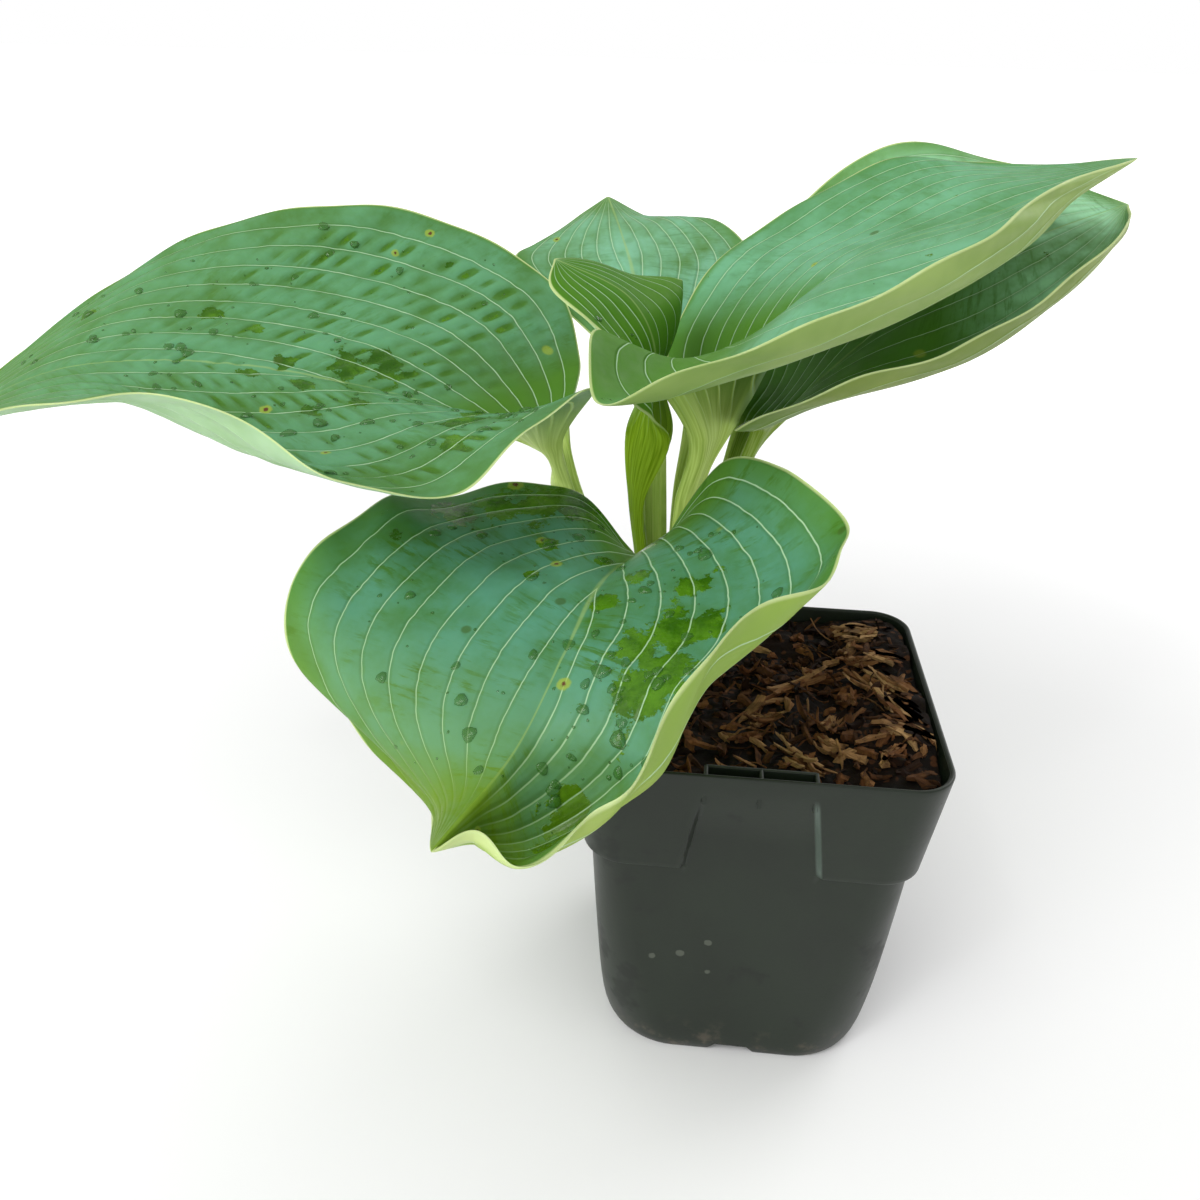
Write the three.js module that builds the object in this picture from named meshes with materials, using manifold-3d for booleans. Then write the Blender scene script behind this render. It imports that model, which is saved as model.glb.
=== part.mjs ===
// Potted hosta: a square nursery pot filled with potting mix and bark mulch, a crown with thick
// roots, and six leaves. Millimetres, +Z up, origin at the centre of the pot's underside, front
// of the pot toward -Y.
import * as THREE from 'three';
import { mergeVertices } from 'three/addons/utils/BufferGeometryUtils.js';
import Module from 'manifold-3d';

const wasm = await Module();
wasm.setup();

// Driving sizes of the pot
const POT = {
  height: 125,
  rimWidth: 114,
  bandHeight: 39,
  bandFootWidth: 106,
  bodyTopWidth: 101.6,
  rimCorner: 13.5,
  wall: 1.4,
  floor: 1.8,
  notchFoot: 18,
  notchHead: 11,
  notchHeight: 4.2,
  notchDepth: 14,
  drainRadius: 4,
};

// Outer sections of the pot below its band: height, width across the flats, corner radius
const BODY_SECTIONS = [
  [0, 87, 23.5],
  [1.5, 89, 24],
  [5, 91.2, 24],
  [12, 93, 22.5],
  [25, 94.8, 19.5],
  [40, 96.4, 17],
];

// Label recess in the middle of the band's front: widths, its panel, and the lip that crosses it
const LABEL = { headWidth: 30, footWidth: 42, panelY: -51.5, lipHeight: 6, lipWall: 1.6, rib: 1.2 };

// Heights of the fill, and the gap that every piece keeps to its neighbour
const SOIL_TOP = 111.2;
const MULCH_TOP = 117;
const MULCH_BUMP = 1.4;
const GAP = 0.3;

// Crown: middle of the knob and its radii, and the roots that leave it
const CROWN = { x: -36, y: 14, z: 101, radius: 15, halfHeight: 18 };
const ROOTS = { count: 9, radius: 1.7, start: 9, reach: 46, drop: 62, wallReach: 40 };

// Bark chips laid on the mulch, and how far each is sunk into it
const CHIPS = {
  count: 34,
  minLength: 6,
  maxLength: 19,
  minWidth: 2.4,
  maxWidth: 5,
  taper: 0.7,
  thickness: 2.4,
  maxTilt: 0.03,
  sunk: 1.5,
};

// Leaf tissue: a stalk is a channel whose sides bulge by a share of the way from keel to rim
const TISSUE = {
  stalkThickness: 2.2,
  stalkBulge: 0.2,
  bladeThickness: 0.8,
  midribRidge: 1.5,
  footRise: 40,
  footZ: SOIL_TOP + GAP,
  holeClearance: 2.3,
};

// Each leaf is stretched between three guide lines, given by a few points on the real leaf:
// midrib from the head of the stalk to the tip, and the left and right margins from the head
// of the stalk round the lobes towards the tip, left and right as seen looking to the tip.
// arrive is the stalk's last stretch, facing the way the blade looks in degrees from +X, width
// and depth the stalk's channel at foot and head, dish how far the blade sags between midrib and
// left and right margin at even steps to the tip, and curl where that sag is deepest.
const LEAVES = {
  leaf_left: {
    foot: [-47, 13],
    arrive: [-18, -2, 24],
    facing: 180,
    width: [7.5, 13],
    depth: [3.8, 12],
    midrib: [[-77, 7, 201], [-145, -5, 222], [-207, -19, 225], [-253, -28, 205]],
    left: [
      [-54, -28, 229], [-67, -54, 226], [-83, -72, 214],
      [-112, -73, 216], [-153, -64, 232], [-211, -58, 223],
    ],
    right: [
      [-66, 46, 218], [-78, 64, 239], [-111, 68, 256],
      [-145, 61, 263], [-188, 44, 256], [-224, 17, 234],
    ],
    dish: [[2.6, 2.6], [6, 2], [7, 7], [3.5, 1], [0, 0]],
    curl: [1.2, 1.2],
  },
  leaf_front: {
    foot: [-38, 1],
    arrive: [-3, -14, 18],
    facing: -102,
    width: [7.5, 12],
    depth: [3.5, 4.5],
    midrib: [[-40, -16, 174], [-49, -52, 181], [-55, -78, 174], [-64, -105, 161], [-79, -128, 149]],
    left: [
      [-18, -18, 206], [-2, -34, 212], [13, -60, 208], [7, -88, 206], [-18, -113, 201],
      [-32, -131, 180], [-46, -125, 156], [-59, -128, 148], [-70, -124, 152],
    ],
    right: [
      [-66, 0, 190], [-104, -7, 187], [-120, -26, 190],
      [-135, -56, 177], [-127, -71, 159], [-90, -93, 137],
    ],
    dish: [[2.4, 2.4], [7, 0], [15, 2.5], [16, -3], [0, 0]],
    curl: [1.4, 1.5],
  },
  leaf_right: {
    foot: [-28, 13],
    arrive: [12, 0, 30],
    facing: 5,
    width: [7.5, 15],
    depth: [3.8, 13],
    midrib: [[-17, 12, 204], [11, 13, 254], [55, 15, 273], [93, 25, 288]],
    left: [[-36, 46, 213], [-35, 56, 228], [-22, 64, 249], [-6, 68, 261], [30, 64, 282], [66, 47, 283]],
    right: [[-52, -34, 247], [-50, -62, 236], [-29, -68, 246], [5, -59, 259], [39, -41, 274], [62, -9, 283]],
    dish: [[3, 3], [3, 12], [3, 14], [0.5, 8], [0, 0]],
    curl: [1.5, 1.8],
  },
  leaf_right_back: {
    foot: [-25, 24],
    arrive: [12, 4, 27],
    facing: 18,
    width: [7, 12],
    depth: [3.8, 10],
    midrib: [[-1, 33, 201], [36, 38, 239], [69, 44, 260], [105, 59, 272]],
    left: [[-4, 60, 212], [-2, 74, 230], [-2, 82, 250], [8, 84, 268], [34, 81, 286], [72, 75, 281]],
    right: [[-14, 0, 211], [-2, -14, 222], [16, -20, 233], [42, -14, 241], [68, 1, 253], [94, 26, 269]],
    dish: [[2.4, 2.4], [2, 6], [3, 12], [1, 9], [0, 0]],
    curl: [1.5, 1.5],
  },
  leaf_back: {
    foot: [-37, 30],
    arrive: [-3, 10, 28],
    facing: 102,
    width: [7, 10],
    depth: [3.5, 4],
    midrib: [[-43, 48, 208], [-50, 72, 238], [-57, 96, 251], [-65, 124, 261]],
    left: [[-60, 58, 220], [-82, 76, 233], [-95, 88, 242], [-90, 100, 246], [-77, 112, 253]],
    right: [[-30, 56, 214], [-14, 72, 228], [-9, 88, 246], [-24, 107, 256], [-46, 121, 253]],
    dish: [[2, 2], [0, 0], [1, 1], [-1.5, -1.5], [0, 0]],
    curl: [1.5, 1.5],
  },
  leaf_young: {
    foot: [-38, 15],
    arrive: [0, 0, 30],
    facing: 178,
    width: [4, 12],
    depth: [3, 13],
    midrib: [[-46, 8, 205], [-39, 2, 229], [-47, 0, 248], [-69, 1, 258]],
    left: [[-47, -6, 207], [-46, -11, 216], [-44, -18, 233], [-57, -18, 245], [-68, -13, 253]],
    right: [[-39, 36, 220], [-34, 42, 243], [-35, 38, 247], [-50, 30, 249], [-62, 17, 255]],
    dish: [[2.4, 2.4], [-1.5, -2.5], [3, -2], [0, -2], [0, 0]],
    curl: [1.4, 1.4],
  },
};

// Steps of the leaf grid: along the stalk, along the blade, and from midrib to margin
const STALK_STEPS = 5;
const BLADE_STEPS = 19;
const SIDE_STEPS = 6;
const STALK_STATIONS = 4;
const TIP_END = 0.98;

// Steps of round corners, posts, chips, roots and the mulch's top
const CORNER_STEPS = 5;
const POST_SIDES = 16;
const CHIP_SIDES = 5;
const ROOT_SIDES = 6;
const ROOT_STEPS = 6;
const MULCH_CELLS = 12;

const paint = (color, roughness) => new THREE.MeshStandardMaterial({ color, roughness, metalness: 0 });
const MATERIALS = {
  pot: paint(0x3a4441, 0.42),
  soil: paint(0x17110d, 0.95),
  bark: paint(0x6e4526, 0.85),
  crown: paint(0xb9ae86, 0.7),
  leaf: paint(0x55825d, 0.5),
  youngLeaf: paint(0x4f7a33, 0.4),
};

// Repeatable random numbers between 0 and 1
function randomFrom(seed) {
  let state = seed;
  return () => {
    state = (Math.imul(state, 1664525) + 1013904223) >>> 0;
    return state / 4294967296;
  };
}

// Geometry from a flat list of corner coordinates and the corners of each triangle
function geometryFrom(positions, index) {
  const geometry = new THREE.BufferGeometry();
  geometry.setAttribute('position', new THREE.Float32BufferAttribute(positions, 3));
  geometry.setIndex(index);
  return geometry;
}

// Solids for cutting and joining, and back
function toSolid(geometry) {
  const bare = geometry.clone();
  bare.deleteAttribute('normal');
  bare.deleteAttribute('uv');
  const merged = mergeVertices(bare, 1e-4);
  return new wasm.Manifold(new wasm.Mesh({
    numProp: 3,
    vertProperties: new Float32Array(merged.attributes.position.array),
    triVerts: new Uint32Array(merged.index.array),
  }));
}

function toGeometry(solid) {
  const mesh = solid.getMesh();
  return geometryFrom(Array.from(mesh.vertProperties), Array.from(mesh.triVerts));
}

function boxSolid(low, high) {
  const size = high.map((value, axis) => value - low[axis]);
  const middle = high.map((value, axis) => (value + low[axis]) / 2);
  return toSolid(new THREE.BoxGeometry(...size).translate(...middle));
}

function postSolid(x, y, low, high, radius) {
  const post = new THREE.CylinderGeometry(radius, radius, high - low, POST_SIDES);
  return toSolid(post.rotateX(Math.PI / 2).translate(x, y, (low + high) / 2));
}

// Ring of points round a square with rounded corners, counter-clockwise from above
function roundedSquare(width, corner, z) {
  const ring = [];
  const middle = width / 2 - corner;
  for (let quarter = 0; quarter < 4; quarter += 1) {
    const turn = quarter * Math.PI / 2;
    const centre = new THREE.Vector2(middle, middle).rotateAround(new THREE.Vector2(), turn);
    for (let step = 0; step <= CORNER_STEPS; step += 1) {
      const angle = turn + step / CORNER_STEPS * Math.PI / 2;
      ring.push([centre.x + corner * Math.cos(angle), centre.y + corner * Math.sin(angle), z]);
    }
  }
  return ring;
}

// Closed solid through rings of equally many points, lowest ring first
function loftSolid(rings) {
  const around = rings[0].length;
  const positions = rings.flat(2);
  const index = [];
  for (let level = 0; level < rings.length - 1; level += 1) {
    for (let k = 0; k < around; k += 1) {
      const a = level * around + k;
      const b = level * around + (k + 1) % around;
      index.push(a, b, b + around, a, b + around, a + around);
    }
  }
  const top = (rings.length - 1) * around;
  for (let k = 1; k < around - 1; k += 1) {
    index.push(0, k + 1, k);
    index.push(top, top + k, top + k + 1);
  }
  return toSolid(geometryFrom(positions, index));
}

// Outer sections of the whole pot, from the floor to the rim
const bandFoot = POT.height - POT.bandHeight;
function potSections() {
  return [
    ...BODY_SECTIONS,
    [bandFoot, POT.bodyTopWidth, 14.5],
    [bandFoot + 1.2, POT.bandFootWidth, 14],
    [POT.height, POT.rimWidth, POT.rimCorner],
  ];
}

// Sections shrunk inward by a distance, from a floor height up past the rim
function innerSections(inset, floor) {
  const inner = potSections()
    .filter(([z]) => z > floor)
    .map(([z, width, corner]) => [z < bandFoot ? z : z + inset, width - 2 * inset, corner - inset]);
  const [, width, corner] = inner[0];
  inner.unshift([floor, width - 3, corner]);
  return inner;
}

const ringsOf = (sections) => sections.map(([z, width, corner]) => roundedSquare(width, corner, z));

// Upright trapezoid plate between two depths, its foot and head widths centred on the front
function trapezoidPlate(footWidth, headWidth, low, high, fromY, toY) {
  const plate = new THREE.Shape();
  plate.moveTo(-footWidth / 2, low);
  plate.lineTo(footWidth / 2, low);
  plate.lineTo(headWidth / 2, high);
  plate.lineTo(-headWidth / 2, high);
  plate.closePath();
  const solid = new THREE.ExtrudeGeometry(plate, { depth: toY - fromY, bevelEnabled: false });
  return toSolid(solid.rotateX(Math.PI / 2).translate(0, toY, 0));
}

// Notches under the middles of the pot's sides, grown by a margin
function notchSolids(margin) {
  const inner = POT.notchDepth + margin - BODY_SECTIONS[0][1] / 2;
  const foot = POT.notchFoot + 2 * margin;
  const head = POT.notchHead + 2 * margin;
  const notch = trapezoidPlate(foot, head, -0.01, POT.notchHeight + margin, -POT.rimWidth / 2, inner);
  return [0, 90, 180, 270].map((turn) => notch.rotate([0, 0, turn]));
}

// Recess that the label slides into, grown by a margin
function labelRecess(margin, high) {
  const foot = LABEL.footWidth + 2 * margin;
  const head = LABEL.headWidth + 2 * margin;
  const widening = (foot - head) / (POT.height - bandFoot) * (high - POT.height);
  return trapezoidPlate(foot, head - widening, bandFoot - margin, high, -POT.rimWidth, LABEL.panelY + margin);
}

// Space inside the pot, shrunk further by a clearance for what fills it
function cavitySolid(clearance) {
  const inset = POT.wall + clearance;
  let cavity = loftSolid(ringsOf(innerSections(inset, POT.floor + clearance)));
  for (const pad of notchSolids(inset)) {
    cavity = cavity.subtract(pad);
  }
  return cavity.subtract(labelRecess(inset, POT.height + 5));
}

// Drain holes: one in the roof of each notch and one in each quarter of the floor
function drainSolids() {
  const sideAt = (BODY_SECTIONS[0][1] - POT.notchDepth) / 2;
  const floorAt = sideAt * 0.5;
  const top = POT.notchHeight + POT.wall + 1;
  const drains = [];
  for (let quarter = 0; quarter < 4; quarter += 1) {
    const turn = quarter * 90;
    drains.push(postSolid(sideAt, 0, -1, top, POT.drainRadius).rotate([0, 0, turn]));
    drains.push(postSolid(floorAt, floorAt, -1, top, POT.drainRadius).rotate([0, 0, turn]));
  }
  return drains;
}

// Thin-walled pot with its label recess, notches and drain holes
function potSolid() {
  const whole = loftSolid(ringsOf(potSections()));
  let pot = whole.subtract(cavitySolid(0));
  pot = pot.subtract(labelRecess(0, POT.height + 1));
  const lipFoot = POT.height - LABEL.lipHeight;
  const lipBack = LABEL.lipWall - POT.rimWidth / 2;
  const lipSpan = LABEL.footWidth / 2;
  const front = boxSolid([-lipSpan, -POT.rimWidth, lipFoot], [lipSpan, lipBack, POT.height]);
  pot = pot.add(whole.intersect(front));
  const bite = 0.5;
  const ribLow = [-LABEL.rib / 2, lipBack - bite, lipFoot];
  const ribHigh = [LABEL.rib / 2, LABEL.panelY + bite, POT.height - 1];
  pot = pot.add(boxSolid(ribLow, ribHigh));
  for (const notch of notchSolids(0)) {
    pot = pot.subtract(notch);
  }
  for (const hole of drainSolids()) {
    pot = pot.subtract(hole);
  }
  return pot;
}

// Gentle unevenness of the mulch
function mulchHeight(x, y) {
  const long = Math.sin(x * 0.09 + 0.6) * Math.cos(y * 0.08 - 0.4);
  const short = Math.sin(x * 0.31 + y * 0.17) * Math.sin(y * 0.27 - x * 0.12);
  return MULCH_TOP + MULCH_BUMP * (0.6 * long + 0.4 * short);
}

// Square block with an uneven top
function unevenBlock(width, low, heightAt) {
  const block = new THREE.BoxGeometry(width, width, 10, MULCH_CELLS, MULCH_CELLS, 1);
  const corners = block.attributes.position;
  for (let k = 0; k < corners.count; k += 1) {
    const isTop = corners.getZ(k) > 0;
    corners.setZ(k, isTop ? heightAt(corners.getX(k), corners.getY(k)) : low);
  }
  return toSolid(block);
}

// Bark chips strewn over the mulch, each sunk into it
function chipSolids() {
  const random = randomFrom(41);
  const between = (low, high) => low + (high - low) * random();
  const chips = [];
  for (let k = 0; k < CHIPS.count; k += 1) {
    const length = between(CHIPS.minLength, CHIPS.maxLength);
    const width = between(CHIPS.minWidth, CHIPS.maxWidth);
    const chip = new THREE.CylinderGeometry(width / 2, width / 2 * CHIPS.taper, length, CHIP_SIDES);
    const reach = POT.bandFootWidth / 2 - length / 3;
    const x = between(-reach, reach);
    const y = between(-reach, reach);
    chip.scale(1, 1, CHIPS.thickness / width);
    chip.rotateX(CHIPS.maxTilt * between(-1, 1));
    chip.rotateZ(between(0, Math.PI));
    chip.translate(x, y, mulchHeight(x, y) + CHIPS.thickness / 2 - CHIPS.sunk);
    chips.push(toSolid(chip));
  }
  return chips;
}

// Plain holes round the stalks' feet
function stalkHoles(low, high) {
  const holes = Object.values(LEAVES).map((leaf) => {
    const facing = THREE.MathUtils.degToRad(leaf.facing);
    const x = leaf.foot[0] - Math.cos(facing) * leaf.depth[0] / 2;
    const y = leaf.foot[1] - Math.sin(facing) * leaf.depth[0] / 2;
    return postSolid(x, y, low, high, leaf.width[0] / 2 + TISSUE.holeClearance);
  });
  return holes.reduce((all, hole) => all.add(hole));
}

// Layer of bark mulch with its chips
function mulchSolid() {
  let mulch = unevenBlock(POT.rimWidth, SOIL_TOP + GAP, mulchHeight);
  for (const chip of chipSolids()) {
    mulch = mulch.add(chip);
  }
  mulch = mulch.intersect(cavitySolid(GAP));
  return mulch.subtract(stalkHoles(SOIL_TOP - 5, POT.height));
}

function everythingAbove(height) {
  const reach = POT.rimWidth;
  return boxSolid([-reach, -reach, height], [reach, reach, POT.height * 2]);
}

// Knob of the crown with its fleshy roots, grown by a clearance for the hole that it fills
function crownSolid(clearance) {
  const knob = new THREE.SphereGeometry(1, 14, 10);
  knob.rotateX(Math.PI / 2);
  knob.scale(CROWN.radius + clearance, CROWN.radius + clearance, CROWN.halfHeight + clearance);
  knob.translate(CROWN.x, CROWN.y, CROWN.z);
  let crown = toSolid(knob);
  const random = randomFrom(7);
  for (let k = 0; k < ROOTS.count; k += 1) {
    crown = crown.add(rootSolid(k / ROOTS.count * 2 * Math.PI, random, clearance));
  }
  return crown.subtract(everythingAbove(SOIL_TOP + clearance));
}

// One root, out from the knob and down into the mix
function rootSolid(heading, random, clearance) {
  const reach = ROOTS.reach * (0.7 + 0.3 * random());
  const drop = ROOTS.drop * (0.6 + 0.4 * random());
  const outX = Math.cos(heading);
  const outY = Math.sin(heading);
  const towardX = THREE.MathUtils.clamp(CROWN.x + outX * reach, -ROOTS.wallReach, ROOTS.wallReach);
  const towardY = THREE.MathUtils.clamp(CROWN.y + outY * reach, -ROOTS.wallReach, ROOTS.wallReach);
  const startX = CROWN.x + outX * ROOTS.start;
  const startY = CROWN.y + outY * ROOTS.start;
  const start = new THREE.Vector3(startX, startY, CROWN.z - 3);
  const bend = new THREE.Vector3((startX + towardX) / 2, (startY + towardY) / 2, CROWN.z - 10);
  const end = new THREE.Vector3(towardX, towardY, CROWN.z - drop - clearance);
  const path = new THREE.QuadraticBezierCurve3(start, bend, end);
  const section = new THREE.Shape();
  section.absarc(0, 0, ROOTS.radius + clearance, 0, 2 * Math.PI);
  return toSolid(new THREE.ExtrudeGeometry(section, {
    steps: ROOT_STEPS,
    curveSegments: ROOT_SIDES / 2,
    extrudePath: path,
    bevelEnabled: false,
  }));
}

// Potting mix that fills the pot round the crown and its roots
function soilSolid() {
  const soil = cavitySolid(GAP).subtract(everythingAbove(SOIL_TOP));
  return soil.subtract(crownSolid(2 * GAP));
}

const vector = (point) => new THREE.Vector3(...point);
const smoothThrough = (points) => new THREE.CatmullRomCurve3(points, false, 'catmullrom', 0.5);

// The three guide lines of a leaf, from its foot to its tip, and how its dish changes to the tip
function leafGuides(leaf) {
  const foot = new THREE.Vector3(leaf.foot[0], leaf.foot[1], TISSUE.footZ);
  const base = vector(leaf.midrib[0]);
  const rise = new THREE.Vector3(leaf.foot[0], leaf.foot[1], TISSUE.footZ + TISSUE.footRise);
  const keelLine = new THREE.CubicBezierCurve3(foot, rise, base.clone().sub(vector(leaf.arrive)), base);
  const facing = THREE.MathUtils.degToRad(leaf.facing);
  const across = new THREE.Vector3(-Math.sin(facing), Math.cos(facing), 0);
  const keel = [];
  const leftRim = [];
  const rightRim = [];
  for (let station = 0; station <= STALK_STATIONS; station += 1) {
    const t = station / STALK_STATIONS;
    const tangent = keelLine.getTangent(t);
    const side = across.clone().addScaledVector(tangent, -across.dot(tangent)).normalize();
    const inward = new THREE.Vector3().crossVectors(tangent, side);
    const width = THREE.MathUtils.lerp(leaf.width[0], leaf.width[1], t ** 3);
    const depth = THREE.MathUtils.lerp(leaf.depth[0], leaf.depth[1], t ** 3);
    const point = keelLine.getPoint(t);
    const rim = point.clone().addScaledVector(inward, depth);
    keel.push(point);
    leftRim.push(rim.clone().addScaledVector(side, width / 2));
    rightRim.push(rim.clone().addScaledVector(side, -width / 2));
  }
  const tip = vector(leaf.midrib[leaf.midrib.length - 1]);
  return {
    midrib: smoothThrough([...keel, ...leaf.midrib.slice(1).map(vector)]),
    left: smoothThrough([...leftRim, ...leaf.left.map(vector), tip]),
    right: smoothThrough([...rightRim, ...leaf.right.map(vector), tip]),
    dish: smoothThrough(leaf.dish.map(([left, right]) => new THREE.Vector3(left, right, 0))),
  };
}

// Point of a guide line: s runs from -1 at the foot over 0 at the stalk's head to 1 at the tip
function guidePoint(line, s) {
  const segments = line.points.length - 1;
  const blade = segments - STALK_STATIONS;
  const at = s < 0 ? (s + 1) * STALK_STATIONS : STALK_STATIONS + s * blade;
  return line.getPoint(at / segments);
}

function guideTangent(line, s) {
  const step = 0.001;
  const ahead = guidePoint(line, Math.min(s + step, 1));
  return ahead.sub(guidePoint(line, Math.max(s - step, -1)));
}

// Point of the sheet: across runs from -1 at the right margin over the midrib to 1 at the left
function sheetPoint(leaf, guides, s, across) {
  const isLeft = across > 0;
  const margin = isLeft ? guides.left : guides.right;
  const middle = guidePoint(guides.midrib, s);
  const chord = guidePoint(margin, s).sub(middle);
  const along = guideTangent(guides.midrib, s).add(guideTangent(margin, s));
  const upward = new THREE.Vector3().crossVectors(along, chord).multiplyScalar(isLeft ? 1 : -1).normalize();
  const dish = guides.dish.getPoint(Math.max(s, 0));
  const bladeSag = isLeft ? dish.x : dish.y;
  const sag = s < 0 ? TISSUE.stalkBulge * chord.length() : bladeSag;
  const share = Math.abs(across);
  const profile = Math.sin(Math.PI * share ** leaf.curl[isLeft ? 0 : 1]);
  return middle.addScaledVector(chord, share).addScaledVector(upward, -sag * profile);
}

// Rows of the leaf grid, from the foot to the tip
function leafRows() {
  const rows = [];
  for (let step = 0; step < STALK_STEPS; step += 1) {
    rows.push(step / STALK_STEPS - 1);
  }
  for (let step = 0; step <= BLADE_STEPS; step += 1) {
    rows.push(step / BLADE_STEPS * TIP_END);
  }
  return rows;
}

// Share of the change from stalk to blade tissue round the stalk's head
const bladeShare = (s) => THREE.MathUtils.smoothstep(s, -0.1, 0.12);

// Tissue on either side of the sheet, with the midrib's ridge below it
function tissueHalf(s) {
  return THREE.MathUtils.lerp(TISSUE.stalkThickness, TISSUE.bladeThickness, bladeShare(s)) / 2;
}
const ridgeBelow = (s) => TISSUE.midribRidge * (1 - s) * bladeShare(s);

// Closed solid round the sheet, its two faces split into triangles alike
function leafGeometry(leaf) {
  const guides = leafGuides(leaf);
  const rows = leafRows();
  const columns = 2 * SIDE_STEPS + 1;
  const across = Array.from({ length: columns }, (_, k) => k / SIDE_STEPS - 1);
  const sheet = rows.map((s) => across.map((v) => sheetPoint(leaf, guides, s, v)));
  sheet[0].forEach((point) => point.setZ(TISSUE.footZ));
  const positions = [];
  const layer = rows.length * columns;
  for (const isTop of [true, false]) {
    rows.forEach((s, i) => across.forEach((v, j) => {
      const ahead = sheet[Math.min(i + 1, rows.length - 1)][j];
      const behind = sheet[Math.max(i - 1, 0)][j];
      const toLeft = sheet[i][Math.min(j + 1, columns - 1)];
      const toRight = sheet[i][Math.max(j - 1, 0)];
      const along = ahead.clone().sub(behind);
      const normal = along.cross(toLeft.clone().sub(toRight));
      if (i === 0) {
        normal.setZ(0);
      }
      normal.normalize();
      const ridge = v === 0 ? ridgeBelow(s) : 0;
      const offset = isTop ? tissueHalf(s) : -tissueHalf(s) - ridge;
      positions.push(...sheet[i][j].clone().addScaledVector(normal, offset).toArray());
    }));
  }
  const index = [];
  const quad = (a, b, c, d) => index.push(a, b, c, a, c, d);
  for (let i = 0; i < rows.length - 1; i += 1) {
    for (let j = 0; j < columns - 1; j += 1) {
      const a = i * columns + j;
      const b = a + 1;
      const c = b + columns;
      const d = a + columns;
      index.push(a, d, c, a, c, b);
      index.push(layer + a, layer + c, layer + d, layer + a, layer + b, layer + c);
    }
    const right = i * columns;
    const left = right + columns - 1;
    quad(right, layer + right, layer + right + columns, right + columns);
    quad(left, left + columns, layer + left + columns, layer + left);
  }
  const last = (rows.length - 1) * columns;
  for (let j = 0; j < columns - 1; j += 1) {
    quad(j, j + 1, layer + j + 1, layer + j);
    quad(last + j, layer + last + j, layer + last + j + 1, last + j + 1);
  }
  return geometryFrom(positions, index);
}

const plant = new THREE.Group();
function addPiece(name, geometry, material) {
  const mesh = new THREE.Mesh(geometry, material);
  mesh.name = name;
  plant.add(mesh);
}

addPiece('pot', toGeometry(potSolid()), MATERIALS.pot);
addPiece('potting_soil', toGeometry(soilSolid()), MATERIALS.soil);
addPiece('bark_mulch', toGeometry(mulchSolid()), MATERIALS.bark);
addPiece('crown', toGeometry(crownSolid(0)), MATERIALS.crown);
for (const [name, leaf] of Object.entries(LEAVES)) {
  addPiece(name, leafGeometry(leaf), name === 'leaf_young' ? MATERIALS.youngLeaf : MATERIALS.leaf);
}

export default plant;
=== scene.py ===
# Potted hosta plant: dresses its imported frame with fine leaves, water drops, a moulded pot, a bed
# of bark and a stage. Metres, +Z up, origin at the centre of the pot's underside, front toward -Y.
import math
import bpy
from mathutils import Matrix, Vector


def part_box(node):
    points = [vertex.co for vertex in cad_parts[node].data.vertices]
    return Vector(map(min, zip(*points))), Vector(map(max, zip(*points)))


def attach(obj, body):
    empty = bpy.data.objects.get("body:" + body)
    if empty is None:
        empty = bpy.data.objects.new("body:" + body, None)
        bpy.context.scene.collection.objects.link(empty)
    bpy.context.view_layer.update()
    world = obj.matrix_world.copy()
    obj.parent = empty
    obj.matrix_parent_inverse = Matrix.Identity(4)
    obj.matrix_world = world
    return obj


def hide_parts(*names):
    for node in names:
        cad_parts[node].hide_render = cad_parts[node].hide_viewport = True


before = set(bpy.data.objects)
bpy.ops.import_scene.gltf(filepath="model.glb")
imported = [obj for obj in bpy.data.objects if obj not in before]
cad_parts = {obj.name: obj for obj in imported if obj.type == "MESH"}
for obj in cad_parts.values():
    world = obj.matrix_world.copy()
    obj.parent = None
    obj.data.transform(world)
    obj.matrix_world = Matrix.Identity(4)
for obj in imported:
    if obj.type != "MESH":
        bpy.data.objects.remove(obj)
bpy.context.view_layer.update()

from types import SimpleNamespace

import bpy
import numpy as np
from bpy.props import FloatProperty, FloatVectorProperty, IntProperty, PointerProperty
from mathutils import Matrix, Vector

bl_info = {
    "name": "Potted hosta plant",
    "version": (1, 0, 0),
    "blender": (4, 5, 0),
    "location": "View3D > Sidebar > Hosta",
    "description": "Leaves, water drops, nursery pot, bark bed and stage around the packed frame",
    "category": "Add Mesh",
}

MM = 0.001
POT_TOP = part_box("pot")[1][2] / MM


def linear(code):
    """Linear colour of an sRGB hex code."""
    shares = [int(code[k:k + 2], 16) / 255 for k in (1, 3, 5)]
    return tuple(c / 12.92 if c <= 0.04045 else ((c + 0.055) / 1.055) ** 2.4 for c in shares)


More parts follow.
